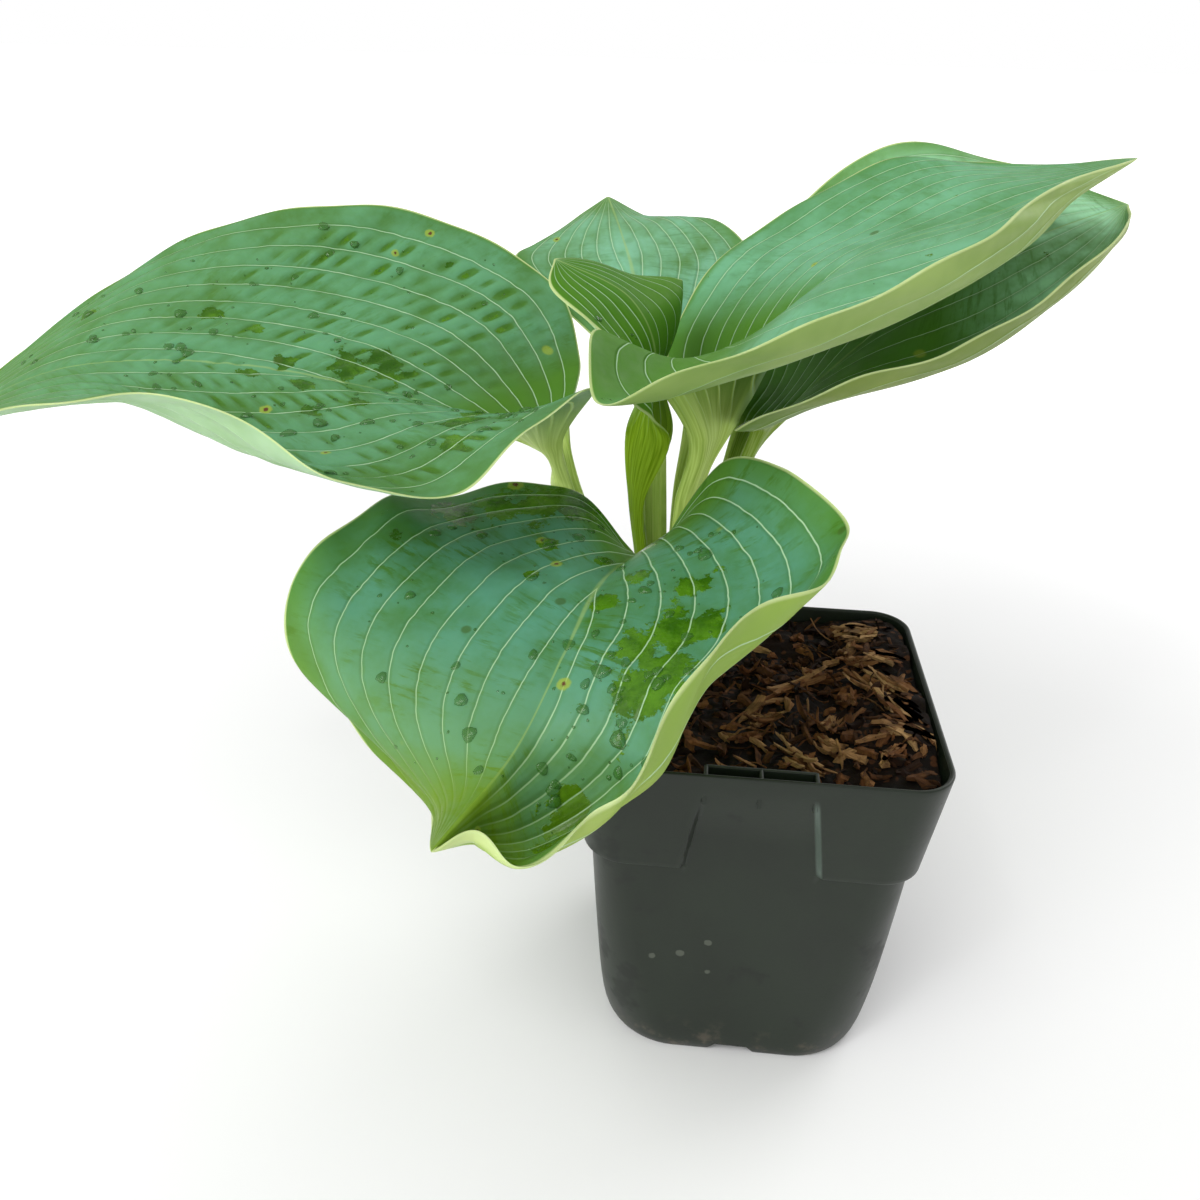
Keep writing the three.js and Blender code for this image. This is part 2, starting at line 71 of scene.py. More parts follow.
# Guide points of the leaves in millimetres: foot and head of the stalk, then midrib and margins from
# the head of the stalk to the tip. Most come from a fit of the guide lines to the photo and are the
# same as in the part's source. The others were moved, some of them only here.
LEAVES = {
    "leaf_left": {
        "foot": (-47, 13), "arrive": (-8, -1, 20), "facing": 180,
        "width": (7.5, 17), "depth": (3.8, 12),
        "midrib": [(-77, 7, 201), (-145, -5, 222), (-207, -19, 225), (-253, -28, 205)],
        "left": [
            (-54, -28, 229), (-67, -54, 226), (-83, -72, 214),
            (-112, -73, 216), (-153, -64, 232), (-211, -58, 223),
        ],
        "right": [
            (-66, 46, 218), (-78, 64, 239), (-111, 68, 256),
            (-145, 61, 263), (-188, 44, 256), (-224, 17, 234),
        ],
        "dish": [(2.6, 2.6), (6, 2), (7, 7), (3.5, 1), (0, 0)],
        "curl": (1.2, 1.2),
    },
    "leaf_front": {
        "foot": (-38, 1), "arrive": (-3, -14, 18), "facing": -102,
        "width": (7.5, 12), "depth": (3.5, 4.5),
        "midrib": [
            (-40, -16, 174), (-49, -52, 181), (-55, -78, 174), (-64, -105, 161), (-79, -128, 149),
        ],
        "left": [
            (-18, -18, 206), (-2, -34, 212), (13, -60, 208), (7, -88, 206), (-18, -113, 201),
            (-32, -131, 180), (-46, -125, 156), (-59, -128, 148), (-70, -124, 152),
        ],
        "right": [
            (-66, 0, 190), (-104, -7, 187), (-120, -26, 190),
            (-135, -56, 177), (-127, -71, 159), (-90, -93, 137),
        ],
        "dish": [(2.4, 2.4), (7, 0), (15, 2.5), (16, -3), (0, 0)],
        "curl": (1.4, 1.5),
    },
    "leaf_right": {
        "foot": (-28, 13), "arrive": (12, 0, 30), "facing": 5,
        "width": (7.5, 15), "depth": (3.8, 13),
        "midrib": [(-17, 12, 204), (11, 13, 254), (55, 15, 273), (93, 25, 288)],
        "left": [
            (-36, 46, 213), (-35, 56, 228), (-22, 64, 249), (-6, 68, 261), (30, 64, 282), (66, 47, 283),
        ],
        "right": [
            (-52, -34, 247), (-50, -62, 236), (-29, -68, 246), (5, -59, 259), (39, -41, 274), (62, -9, 283),
        ],
        "dish": [(3, 3), (3, 6), (3, 10.5), (0.5, 8), (0, 0)],
        "curl": (1.5, 1.8),
    },
    "leaf_right_back": {
        "foot": (-25, 24), "arrive": (12, 4, 27), "facing": 18,
        "width": (7, 12), "depth": (3.8, 10),
        "midrib": [(-1, 33, 201), (36, 38, 239), (69, 44, 260), (105, 59, 272)],
        "left": [
            (-4, 60, 212), (-2, 74, 230), (-2, 82, 250), (8, 84, 268), (34, 81, 286), (72, 75, 281),
        ],
        "right": [
            (-14, 0, 211), (-2, -14, 222), (16, -20, 233), (42, -14, 241), (68, 1, 253), (94, 26, 269),
        ],
        "dish": [(2.4, 2.4), (2, 6), (3, 12), (1, 9), (0, 0)],
        "curl": (1.5, 1.5),
    },
    "leaf_back": {
        "foot": (-37, 30), "arrive": (-3, 10, 28), "facing": 102,
        "width": (7, 10), "depth": (3.5, 4),
        "midrib": [(-43, 48, 208), (-50, 72, 238), (-57, 96, 251), (-65, 124, 261)],
        "left": [(-60, 58, 220), (-82, 76, 233), (-95, 88, 242), (-90, 100, 246), (-77, 112, 253)],
        "right": [(-30, 56, 214), (-14, 72, 228), (-9, 88, 246), (-24, 107, 256), (-46, 121, 253)],
        "dish": [(2, 2), (0, 0), (1, 1), (-1.5, -1.5), (0, 0)],
        "curl": (1.5, 1.5),
    },
    "leaf_young": {
        "foot": (-38, 15), "arrive": (0, 0, 30), "facing": 178, "swell": 7,
        "width": (4, 12), "depth": (3, 13),
        "midrib": [(-46, 8, 205), (-39, 2, 229), (-47, 0, 248), (-69, 1, 258)],
        "left": [(-39, -4, 214), (-45, -12, 222), (-44, -18, 234), (-57, -18, 245), (-68, -13, 253)],
        "right": [(-39, 36, 220), (-34, 42, 243), (-35, 38, 247), (-50, 30, 249), (-62, 17, 255)],
        "dish": [(2.4, 2.4), (-1.5, -2.5), (3, -2), (0, -2), (0, 0)],
        "curl": (1.4, 1.4),
    },
}

# Surface of each leaf: veins on either side, height of the puckers between them and their beat
# along the leaf in millimetres, waves of the margin, its colours above, below and at the stalk, how
# dark the pits between the puckers are painted as painted shade and how bluish their crests are painted
# as painted reflection, how much wax is rubbed off, how far the fresh green without wax reaches from the
# margin in millimetres and from the stalk as place along, how yellow the tip is, how glossy the tissue
# is, and how far along the stalk's colours climb into the blade.
# wet lists patches of water film and spots the blemishes, both as place along, place across and
# radius in millimetres.
LOOKS = {
    "leaf_left": {
        "veins": 9, "pucker": 2.3, "beat": 6.5, "wave": 0.5,
        "bloom": ("#5a9468", "#42722c"), "under": ("#a0bf98", "#8aab7c"), "stalk": ("#cbe084", "#a9c45c"),
        "pits": 0.8, "rub": 0.4, "fresh": (2.5, 0.2), "yellow": 0.35, "gloss": 0.15, "climb": 0.06,
        "wet": [
            (0.27, -0.18, 7), (0.31, -0.11, 6), (0.37, -0.06, 4), (0.41, 0.29, 4), (0.25, 0.57, 6),
            (0.33, 0.75, 5), (0.32, 0.26, 3.5), (0.58, -0.34, 4), (0.48, -0.25, 3), (0.79, -0.58, 4),
            (0.36, 0.12, 3.5), (0.42, 0.05, 3.5), (0.2, 0.45, 5),
        ],
        "spots": [
            (0.46, 0.28, 1.9), (0.46, 0.55, 1.5), (0.45, -0.92, 1.8), (0.46, -0.8, 1.3), (0.79, -0.97, 2.2),
        ],
    },
    "leaf_front": {
        "veins": 9, "pucker": 0.55, "beat": 15.0, "wave": 1.2,
        "bloom": ("#518e75", "#3b702e"), "under": ("#96ad4a", "#84a13e"), "stalk": ("#8aa348", "#5d7c20"),
        "pits": 0.15, "rub": 0.8, "fresh": (18, 0.2), "yellow": 1.0, "gloss": 0.18, "climb": 0.06,
        "wet": [
            (0.26, 0.19, 5), (0.3, 0.39, 6), (0.33, 0.06, 4), (0.39, 0.35, 9), (0.38, 0.47, 6),
            (0.44, 0.27, 7), (0.51, 0.42, 12), (0.35, -0.27, 2.5), (0.24, -0.39, 4), (0.17, -0.11, 4),
            (0.73, 0.5, 9), (0.19, -0.78, 12), (0.13, -0.75, 10), (0.24, -0.76, 9), (0.3, -0.78, 8),
            (0.12, 0.23, 5),
        ],
        "spots": [
            (0.57, 0.07, 2.0), (0.27, -0.25, 1.8), (0.24, -0.42, 1.8), (0.88, 0.38, 1.4), (0.2, -0.96, 2.6),
        ],
    },
    "leaf_right": {
        "veins": 9, "pucker": 0.3, "beat": 15.0, "wave": 0.6,
        "bloom": ("#6ba880", "#4f8650"), "under": ("#90a65c", "#7c954a"), "stalk": ("#b4cc6c", "#8ca846"),
        "pits": 0.1, "rub": 0.3, "fresh": (4, 0.4), "yellow": 0.1, "gloss": 0.12, "climb": 0.06,
        "wet": [(0.1, 0.1, 7)],
        "spots": [(0.4, 0.3, 1.2), (0.62, -0.55, 1.4)],
    },
    "leaf_right_back": {
        "veins": 8, "pucker": 0.35, "beat": 14.0, "wave": 0.5,
        # Painted light: the bloom is lightened to stand in for light on an upper face that leaf_right shades,
        # and the fresh green reaching far from margin and stalk keeps that light to the part toward the tip.
        "bloom": ("#a4dfb4", "#5c8c48"), "under": ("#7e9040", "#6c8036"), "stalk": ("#8ea650", "#6c8a24"),
        "pits": 0.2, "rub": 0.5, "fresh": (15, 0.75), "yellow": 0.1, "gloss": 0.1, "climb": 0.06,
        "wet": [(0.45, 0.5, 6)],
        "spots": [(0.5, 0.2, 1.3)],
    },
    "leaf_back": {
        "veins": 7, "pucker": 0.5, "beat": 12.0, "wave": 0.4,
        "bloom": ("#78b290", "#4e7a32"), "under": ("#93ab70", "#7f9a58"), "stalk": ("#97ae58", "#7c9a3c"),
        "pits": 0.2, "rub": 0.3, "fresh": (9, 0.3), "yellow": 0.2, "gloss": 0.15, "climb": 0.06,
        "wet": [],
        "spots": [(0.66, 0.73, 1.5)],
    },
    "leaf_young": {
        "veins": 6, "pucker": 0.15, "beat": 10.0, "wave": 0.25,
        "bloom": ("#457c1c", "#376a06"), "under": ("#62881c", "#507a10"), "stalk": ("#84a626", "#5c7c06"),
        "pits": 0.0, "rub": 0.1, "fresh": (50, 0.9), "yellow": 0.0, "gloss": 0.05, "climb": 0.3,
        "wet": [(0.55, 0.85, 6)],
        "spots": [(0.3, -0.4, 0.8)],
    },
}

# Guide stretches of a stalk, how far it rises upright, and the height of its foot in millimetres
STALK_STATIONS = 4
FOOT_RISE = 40
FOOT_Z = 111.5
# Rows and columns of the fine leaf grids
STALK_ROWS = 34
BLADE_ROWS = 170
SIDE_COLUMNS = 54
# How far the inner veins gather to the midrib, and how soon that fades along the leaf
VEIN_GATHER = 0.34
VEIN_FADE = 0.24
# Half width of the midrib's ridge below in millimetres
MIDRIB_HALF = 1.3
# Pits in one strip between two veins before their depths repeat
PIT_COUNT = 64


def unit(vectors):
    """Vectors divided by their own lengths."""
    return vectors / np.maximum(np.linalg.norm(vectors, axis=-1, keepdims=True), 1e-12)


def ease(value, low, high):
    """Smooth step: 0 below low, 1 above high, 3t^2 - 2t^3 between."""
    t = np.clip((value - low) / (high - low), 0.0, 1.0)
    return t * t * (3 - 2 * t)


def catmull_rom(points, place):
    """Curve through the points at places 0 to 1: between neighbours b and c with outer neighbours
    a and d, the cubic 0.5 (2b + (c - a) f + (2a - 5b + 4c - d) f^2 + (3b - a - 3c + d) f^3)."""
    p = np.asarray(points, float)
    q = np.concatenate([[2 * p[0] - p[1]], p, [2 * p[-1] - p[-2]]])
    x = np.clip(np.asarray(place, float), 0, 1) * (len(p) - 1)
    i = np.minimum(x.astype(int), len(p) - 2)
    f = (x - i)[:, None]
    a, b, c, d = q[i], q[i + 1], q[i + 2], q[i + 3]
    return 0.5 * (2 * b + (c - a) * f + (2 * a - 5 * b + 4 * c - d) * f**2 + (3 * b - a - 3 * c + d) * f**3)


def value_noise(x, y, cell, seed):
    """Smooth noise from -1 to 1: random values on a square lattice, eased between its corners."""
    lattice = np.random.default_rng(seed).uniform(-1, 1, (64, 64))
    u, v = x / cell, y / cell
    i, j = np.floor(u).astype(int), np.floor(v).astype(int)
    fu, fv = ease(u - i, 0, 1), ease(v - j, 0, 1)
    corner = [[lattice[(i + a) % 64, (j + b) % 64] for b in (0, 1)] for a in (0, 1)]
    low = corner[0][0] * (1 - fv) + corner[0][1] * fv
    high = corner[1][0] * (1 - fv) + corner[1][1] * fv
    return low * (1 - fu) + high * fu


def stalk_lines(leaf):
    """Keel and rims of the stalk in millimetres: the keel is a cubic Bezier curve that leaves the
    foot upright and arrives at the blade, and the rims stand off it by the channel's depth and half
    its width, which both grow with the cube of the way, or a higher power on the young leaf."""
    foot = np.array([*leaf["foot"], FOOT_Z], float)
    head = np.array(leaf["midrib"][0], float)
    rise = foot + (0, 0, FOOT_RISE)
    near = head - np.array(leaf["arrive"], float)
    t = np.linspace(0, 1, STALK_STATIONS + 1)[:, None]
    keel = (1 - t)**3 * foot + 3 * t * (1 - t)**2 * rise + 3 * t**2 * (1 - t) * near + t**3 * head
    tangent = unit((1 - t)**2 * (rise - foot) + 2 * t * (1 - t) * (near - rise) + t**2 * (head - near))
    facing = math.radians(leaf["facing"])
    across = np.array([-math.sin(facing), math.cos(facing), 0.0])
    side = unit(across - tangent * (tangent @ across)[:, None])
    inward = np.cross(tangent, side)
    swell = t ** leaf.get("swell", 3)
    width = leaf["width"][0] + (leaf["width"][1] - leaf["width"][0]) * swell
    depth = leaf["depth"][0] + (leaf["depth"][1] - leaf["depth"][0]) * swell
    rim = keel + inward * depth
    return keel, rim + side * width / 2, rim - side * width / 2


def guide_line(stalk, blade, s):
    """Point and step of a guide line: s is -1 at the foot, 0 at the stalk's head, 1 at the tip."""
    points = np.concatenate([stalk, np.asarray(blade, float)])
    blade_count = len(points) - 1 - STALK_STATIONS
    step = 1e-3

    def at(value):
        value = np.clip(value, -1, 1)
        station = np.where(value < 0, (value + 1) * STALK_STATIONS, STALK_STATIONS + value * blade_count)
        return catmull_rom(points, station / (len(points) - 1))

    return at(s), at(s + step) - at(s - step)


def leaf_sheet(leaf, s, v):
    """Points of the leaf's middle sheet in millimetres and the reach from midrib to margin. The
    sheet runs straight from the midrib to the margin guide, sunk by the dish times
    sin(pi |v|^curl); v is -1 at the right margin and 1 at the left one."""
    keel, left_rim, right_rim = stalk_lines(leaf)
    tip = [leaf["midrib"][-1]]
    middle, middle_step = guide_line(keel, leaf["midrib"][1:], s)
    dish = catmull_rom(leaf["dish"], np.clip(s, 0, 1))
    points = np.zeros((len(s), len(v), 3))
    reach = np.zeros((len(s), len(v)))
    for column, (rim, margin, turn) in enumerate(((left_rim, "left", 1), (right_rim, "right", -1))):
        edge, edge_step = guide_line(rim, list(leaf[margin]) + tip, s)
        chord = edge - middle
        length = np.linalg.norm(chord, axis=1)
        upward = unit(np.cross(middle_step + edge_step, chord) * turn)
        sag = np.where(s < 0, 0.2 * length, dish[:, column])
        sag = sag + (dish[:, column] - sag) * ease(s, -0.2, 0.02)
        here = v > 0 if turn > 0 else v <= 0
        share = np.abs(v[here])
        profile = np.sin(np.pi * share ** leaf["curl"][column])
        points[:, here] = (
            middle[:, None] + chord[:, None] * share[:, None]
            - upward[:, None] * (sag[:, None] * profile)[..., None]
        )
        reach[:, here] = length[:, None]
    return points, reach


def sheet_normals(points):
    """Normals of a grid of points: the step to the next row crossed with the step to the next column."""
    return unit(np.cross(np.gradient(points, axis=0), np.gradient(points, axis=1)))


def vein_place(across, along):
    """Vein coordinate: |v| plus a share that fades to the tip, so that inner veins leave the midrib
    one after another and outer ones follow the margin: q = |v| + g (1 - |v|), g = gather e^(-s/fade)."""
    gather = VEIN_GATHER * np.exp(-np.maximum(along, 0) / VEIN_FADE)
    return np.abs(across) + gather * (1 - np.abs(across))


def pucker_heights(points, reach, s, v, look, seed):
    """Height of the tissue between the veins: |sin(pi n q)|^0.8 across, less a round pit in each
    beat of the strip between two veins, every pit of its own depth, fading to stalk, margin and tip
    and with the leaf's width. The second value is the relief: above 0 on the crests and below 0 in
    the pits."""
    along, across = s[:, None], v[None, :]
    cells = vein_place(across, along) * look["veins"]
    steps = np.linalg.norm(np.diff(points, axis=0), axis=-1)
    way = np.concatenate([np.zeros((1, len(v))), np.cumsum(steps, axis=0)])
    random = np.random.default_rng(seed)
    start = random.uniform(0, 1, (2, look["veins"] + 2))
    depth = random.uniform(0, 1, (2, look["veins"] + 2, PIT_COUNT))
    side, strip = (across > 0).astype(int), np.floor(cells).astype(int)
    patch = value_noise(along * 7 + 20, across * 4 + 20 + 0 * along, 1.0, seed + 1)
    run = np.maximum(along, 0) * (way[-1] - way[STALK_ROWS]).mean() / look["beat"] + start[side, strip]
    pit = depth[side, strip, np.floor(run).astype(int) % PIT_COUNT] * np.sin(np.pi * run)**2
    inside = ease(along, 0.02, 0.16) * (1 - ease(along, 0.8, 0.97)) * (1 - ease(np.abs(across), 0.82, 0.98))
    inside = inside * (reach / reach.max())**1.5
    zone = ease(along, 0.06, 0.2) * (1 - 0.8 * ease(along, 0.45, 0.75)) * (0.8 + 0.4 * patch)
    between = np.abs(np.sin(np.pi * cells))
    rise = between**0.8 * (0.5 + 0.2 * patch) - between**1.5 * pit * (0.15 + 0.75 * zone)
    wave = np.abs(across)**5 * np.sin(way / 5.5 + 6 * start[0, 0] + 2 * (across > 0)) * ease(along, 0.05, 0.2)
    relief = (0.32 * between - 1.35 * between**1.3 * pit * zone) * inside
    height = look["pucker"] * rise * inside + look["wave"] * wave * (1 - ease(along, 0.85, 1))
    return height, relief


def leaf_grid(leaf, look, seed):
    """All that a leaf's mesh, drops and shader need: the puckered sheet in metres, its normals,
    reach, crests and film of water on a grid of s and v."""
    stalk_rows = np.linspace(-1, 0, STALK_ROWS, endpoint=False)
    s = np.concatenate([stalk_rows, np.linspace(0, 1, BLADE_ROWS)[:-1]])
    half = np.concatenate([np.linspace(0, 0.985, SIDE_COLUMNS), [0.994, 1.0]])
    v = np.concatenate([-half[:0:-1], half])
    points, reach = leaf_sheet(leaf, s, v)
    rise, crest = pucker_heights(points, reach, s, v, look, seed)
    normals = sheet_normals(points)
    points = points + normals * rise[..., None]
    points[0, :, 2] = FOOT_Z
    wet = np.zeros(reach.shape)
    for along, across, radius in look["wet"]:
        centre = points[np.abs(s - along).argmin(), np.abs(v - across).argmin()]
        gap = np.linalg.norm(points - centre, axis=-1)
        wet = np.maximum(wet, np.exp(-(gap / radius)**2))
    return {
        "s": s, "v": v, "points": points * MM, "normals": sheet_normals(points),
        "reach": reach, "crest": crest, "wet": wet,
    }


def grid_quads(rows, columns):
    """Corner numbers of the quads of a grid, counted row by row."""
    corner = np.arange((rows - 1) * columns).reshape(rows - 1, columns)[:, :-1].ravel()
    return np.stack([corner, corner + columns, corner + columns + 1, corner + 1], axis=1)


def ring_quads(rings, around):
    """Corner numbers of the quads between closed rings of equally many points, lowest ring first,
    each ring counter-clockwise as seen from the side that the normals point to."""
    ring = np.arange(rings - 1)[:, None] * around
    k = np.arange(around)[None, :]
    after = (k + 1) % around
    quads = np.stack([ring + k, ring + after, ring + around + after, ring + around + k], axis=-1)
    return quads.reshape(-1, 4)


def new_piece(name, points, faces, material, sharp=math.radians(40), point_data=None, corner_uv=None):
    """Mesh object in the frame, with its material, smooth faces, attributes and ride on the body."""
    mesh = bpy.data.meshes.new(name)
    mesh.from_pydata(np.asarray(points).tolist(), [], faces)
    mesh.polygons.foreach_set("use_smooth", np.ones(len(mesh.polygons), bool))
    mesh.set_sharp_from_angle(angle=sharp)
    for label, values in (point_data or {}).items():
        attribute = mesh.attributes.new(label, "FLOAT", "POINT")
        attribute.data.foreach_set("value", np.asarray(values, np.float32).ravel())
    if corner_uv is not None:
        corners = np.zeros(len(mesh.loops), np.int32)
        mesh.loops.foreach_get("vertex_index", corners)
        layer = mesh.uv_layers.new(name="SurfaceMap")
        layer.uv.foreach_set("vector", np.asarray(corner_uv, np.float32)[corners].ravel())
    mesh.materials.append(material)
    piece = bpy.data.objects.new(name, mesh)
    bpy.context.collection.objects.link(piece)
    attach(piece, "root")
    return piece


class Wiring:
    """Adds nodes to a shader tree, one call for each, and links what is a socket."""

    def __init__(self, tree):
        self.tree = tree

    def add(self, kind, settings=None, inputs=None):
        node = self.tree.nodes.new(kind)
        node.location = (len(self.tree.nodes) % 12 * 180, -len(self.tree.nodes) // 12 * 220)
        for name, value in (settings or {}).items():
            setattr(node, name, value)
        for name, value in (inputs or {}).items():
            self.feed(node.inputs[name], value)
        return node

    def feed(self, socket, value):
        if isinstance(value, bpy.types.NodeSocket):
            self.tree.links.new(value, socket)
        else:
            socket.default_value = value

    def math(self, operation, *values):
        node = self.add("ShaderNodeMath", {"operation": operation})
        for socket, value in zip(node.inputs, values):
            self.feed(socket, value)
        return node.outputs[0]

    def times(self, first, second):
        return self.math("MULTIPLY", first, second)

    def mix(self, share, first, second):
        node = self.add("ShaderNodeMix", {"data_type": "RGBA"})
        for number, value in ((0, share), (6, first), (7, second)):
            if isinstance(value, tuple):
                value = (*value, 1.0)
            self.feed(node.inputs[number], value)
        return node.outputs[2]

    def remap(self, value, low, high, to_low=0.0, to_high=1.0):
        node = self.add("ShaderNodeMapRange", {"interpolation_type": "SMOOTHSTEP"})
        for number, given in enumerate((value, low, high, to_low, to_high)):
            self.feed(node.inputs[number], given)
        return node.outputs[0]

    def noise(self, vector, scale, detail=3.0, roughness=0.55):
        node = self.add("ShaderNodeTexNoise", inputs={
            "Vector": vector, "Scale": scale, "Detail": detail, "Roughness": roughness,
        })
        return node.outputs["Fac"]

    def group(self, tree, **inputs):
        node = self.add("ShaderNodeGroup", {"node_tree": tree})
        for name, value in inputs.items():
            self.feed(node.inputs[name], value)
        return node

    def attribute(self, name):
        return self.add("ShaderNodeAttribute", {"attribute_name": name}).outputs["Fac"]

    def place(self):
        return self.add("ShaderNodeTexCoord").outputs["Object"]

    def bump(self, height, strength, distance):
        node = self.add("ShaderNodeBump", inputs={
            "Height": height, "Strength": strength, "Distance": distance,
        })
        return node.outputs["Normal"]


def effect_group(name, inputs, outputs):
    """Empty shader group with named inputs and outputs, and the wiring and end nodes to fill it."""
    tree = bpy.data.node_groups.new(name, "ShaderNodeTree")
    for label, kind in inputs:
        tree.interface.new_socket(label, in_out="INPUT", socket_type=kind)
    for label, kind in outputs:
        tree.interface.new_socket(label, in_out="OUTPUT", socket_type=kind)
    wires = Wiring(tree)
    entry = wires.add("NodeGroupInput")
    end = wires.add("NodeGroupOutput")
    return tree, wires, entry.outputs, end.inputs


NUMBER = "NodeSocketFloat"
VECTOR = "NodeSocketVector"


def vein_group():
    """Lines of the veins and the distance to the nearest one: the vein coordinate of vein_place,
    times the count, measured to its nearest whole number and brought back to millimetres."""
    name = "Vein lines"
    if name in bpy.data.node_groups:
        return bpy.data.node_groups[name]
    inputs = [(label, NUMBER) for label in ("Across", "Along", "Reach", "Count", "Width", "Waver")]
    tree, wires, given, out = effect_group(name, inputs, [("Line", NUMBER), ("Distance", NUMBER)])
    away = wires.math("ABSOLUTE", given["Across"])
    run = wires.math("MAXIMUM", given["Along"], 0.0)
    fading = wires.math("EXPONENT", wires.math("DIVIDE", run, -VEIN_FADE))
    gather = wires.times(fading, VEIN_GATHER)
    inner = wires.math("SUBTRACT", 1.0, away)
    place = wires.math("MULTIPLY_ADD", gather, inner, away)
    counted = wires.times(wires.math("ADD", place, given["Waver"]), given["Count"])
    gap = wires.math("PINGPONG", counted, 0.5)
    spread = wires.times(given["Count"], wires.math("SUBTRACT", 1.0, gather))
    distance = wires.math("DIVIDE", wires.times(gap, given["Reach"]), spread)
    line = wires.remap(distance, wires.times(given["Width"], 0.35), given["Width"], 1.0, 0.0)
    wires.feed(out["Line"], line)
    wires.feed(out["Distance"], distance)
    return tree


def blotch_group():
    """Mask of soft-edged blotches: noise between two levels."""
    name = "Blotches"
    if name in bpy.data.node_groups:
        return bpy.data.node_groups[name]
    inputs = [("Vector", VECTOR), ("Scale", NUMBER), ("Low", NUMBER), ("High", NUMBER)]
    tree, wires, given, out = effect_group(name, inputs, [("Mask", NUMBER)])
    noise = wires.noise(given["Vector"], given["Scale"], 4.0, 0.6)
    wires.feed(out["Mask"], wires.remap(noise, given["Low"], given["High"]))
    return tree


def speck_group():
    """Mask of small round specks: the inside of a few of the cells of a cell pattern."""
    name = "Specks"
    if name in bpy.data.node_groups:
        return bpy.data.node_groups[name]
    inputs = [("Vector", VECTOR), ("Scale", NUMBER), ("Share", NUMBER), ("Size", NUMBER)]
    tree, wires, given, out = effect_group(name, inputs, [("Mask", NUMBER)])
    cells = wires.add("ShaderNodeTexVoronoi", inputs={"Vector": given["Vector"], "Scale": given["Scale"]})
    chosen = wires.math("LESS_THAN", wires.add("ShaderNodeSeparateColor", inputs={
        "Color": cells.outputs["Color"],
    }).outputs[0], given["Share"])
    edge = wires.times(given["Size"], 0.6)
    inside = wires.remap(cells.outputs["Distance"], edge, given["Size"], 1.0, 0.0)
    wires.feed(out["Mask"], wires.times(chosen, inside))
    return tree


def spot_group():
    """Core and ring of one round mark about a centre, its edge made uneven by noise."""
    name = "Round mark"
    if name in bpy.data.node_groups:
        return bpy.data.node_groups[name]
    inputs = [("Vector", VECTOR), ("Centre", VECTOR), ("Radius", NUMBER)]
    tree, wires, given, out = effect_group(name, inputs, [("Core", NUMBER), ("Ring", NUMBER)])
    gap = wires.add("ShaderNodeVectorMath", {"operation": "DISTANCE"})
    wires.feed(gap.inputs[0], given["Vector"])
    wires.feed(gap.inputs[1], given["Centre"])
    share = wires.math("DIVIDE", gap.outputs["Value"], given["Radius"])
    uneven = wires.math("MULTIPLY_ADD", wires.noise(given["Vector"], 900.0), 0.6, -0.3)
    share = wires.math("ADD", share, uneven)
    wires.feed(out["Core"], wires.remap(share, 0.3, 0.5, 1.0, 0.0))
    wires.feed(out["Ring"], wires.remap(share, 0.75, 1.15, 1.0, 0.0))
    return tree


def new_material(name):
    """Material with its wiring and its Principled shader."""
    material = bpy.data.materials.new(name)
    material.use_nodes = True
    wires = Wiring(material.node_tree)
    return material, wires, material.node_tree.nodes["Principled BSDF"]


def leaf_patterns(wires, look):
    """What a leaf's colours and bumps share: the place on the leaf, which face it is, the vein
    lines, the midrib, the way to the margin, and noise of three sizes."""
    place = wires.place()
    surface = wires.add("ShaderNodeUVMap", {"uv_map": "SurfaceMap"})
    split = wires.add("ShaderNodeSeparateXYZ", inputs={"Vector": surface.outputs["UV"]})
    across, along = split.outputs["X"], split.outputs["Y"]
    upper = wires.attribute("upper")
    reach = wires.attribute("reach")

    waver = wires.math("MULTIPLY_ADD", wires.noise(place, 130.0, 2.0), 0.016, -0.008)
    width = wires.remap(along, 0.0, 0.9, 0.3, 0.2)
    veins = wires.group(
        vein_group(), Across=across, Along=along, Reach=reach, Count=float(look["veins"]),
        Width=width, Waver=waver,
    )
    distance = veins.outputs["Distance"]
    faint = wires.remap(along, 0.75, 0.97, 1.0, 0.35)
    line = wires.times(veins.outputs["Line"], faint)
    from_middle = wires.times(wires.math("ABSOLUTE", across), reach)
    midrib = wires.remap(from_middle, 0.2, wires.remap(along, 0.0, 0.7, 2.0, 0.4), 1.0, 0.0)
    to_margin = wires.times(wires.math("SUBTRACT", 1.0, wires.math("ABSOLUTE", across)), reach)
    return SimpleNamespace(
        place=place, across=across, along=along, upper=upper, reach=reach, distance=distance,
        faint=faint, line=line, midrib=midrib, to_margin=to_margin, relief=wires.attribute("crest"),
        broad=wires.noise(place, 22.0, 4.0, 0.6), mottle=wires.noise(place, 75.0, 4.0, 0.65),
        fine=wires.noise(place, 260.0, 4.0, 0.65),
    )


def water_film(wires, look, leaf):
    """Mask of the patches of water film: the wet attribute with a ragged edge, thinner on crests."""
    ragged = wires.math("MULTIPLY_ADD", wires.noise(leaf.place, 120.0, 5.0, 0.72), 2.6, -1.35)
    ragged = wires.math("MULTIPLY_ADD", leaf.relief, -1.2 * look["pits"], ragged)
    return wires.remap(wires.math("ADD", wires.attribute("wet"), ragged), 0.4, 0.52)


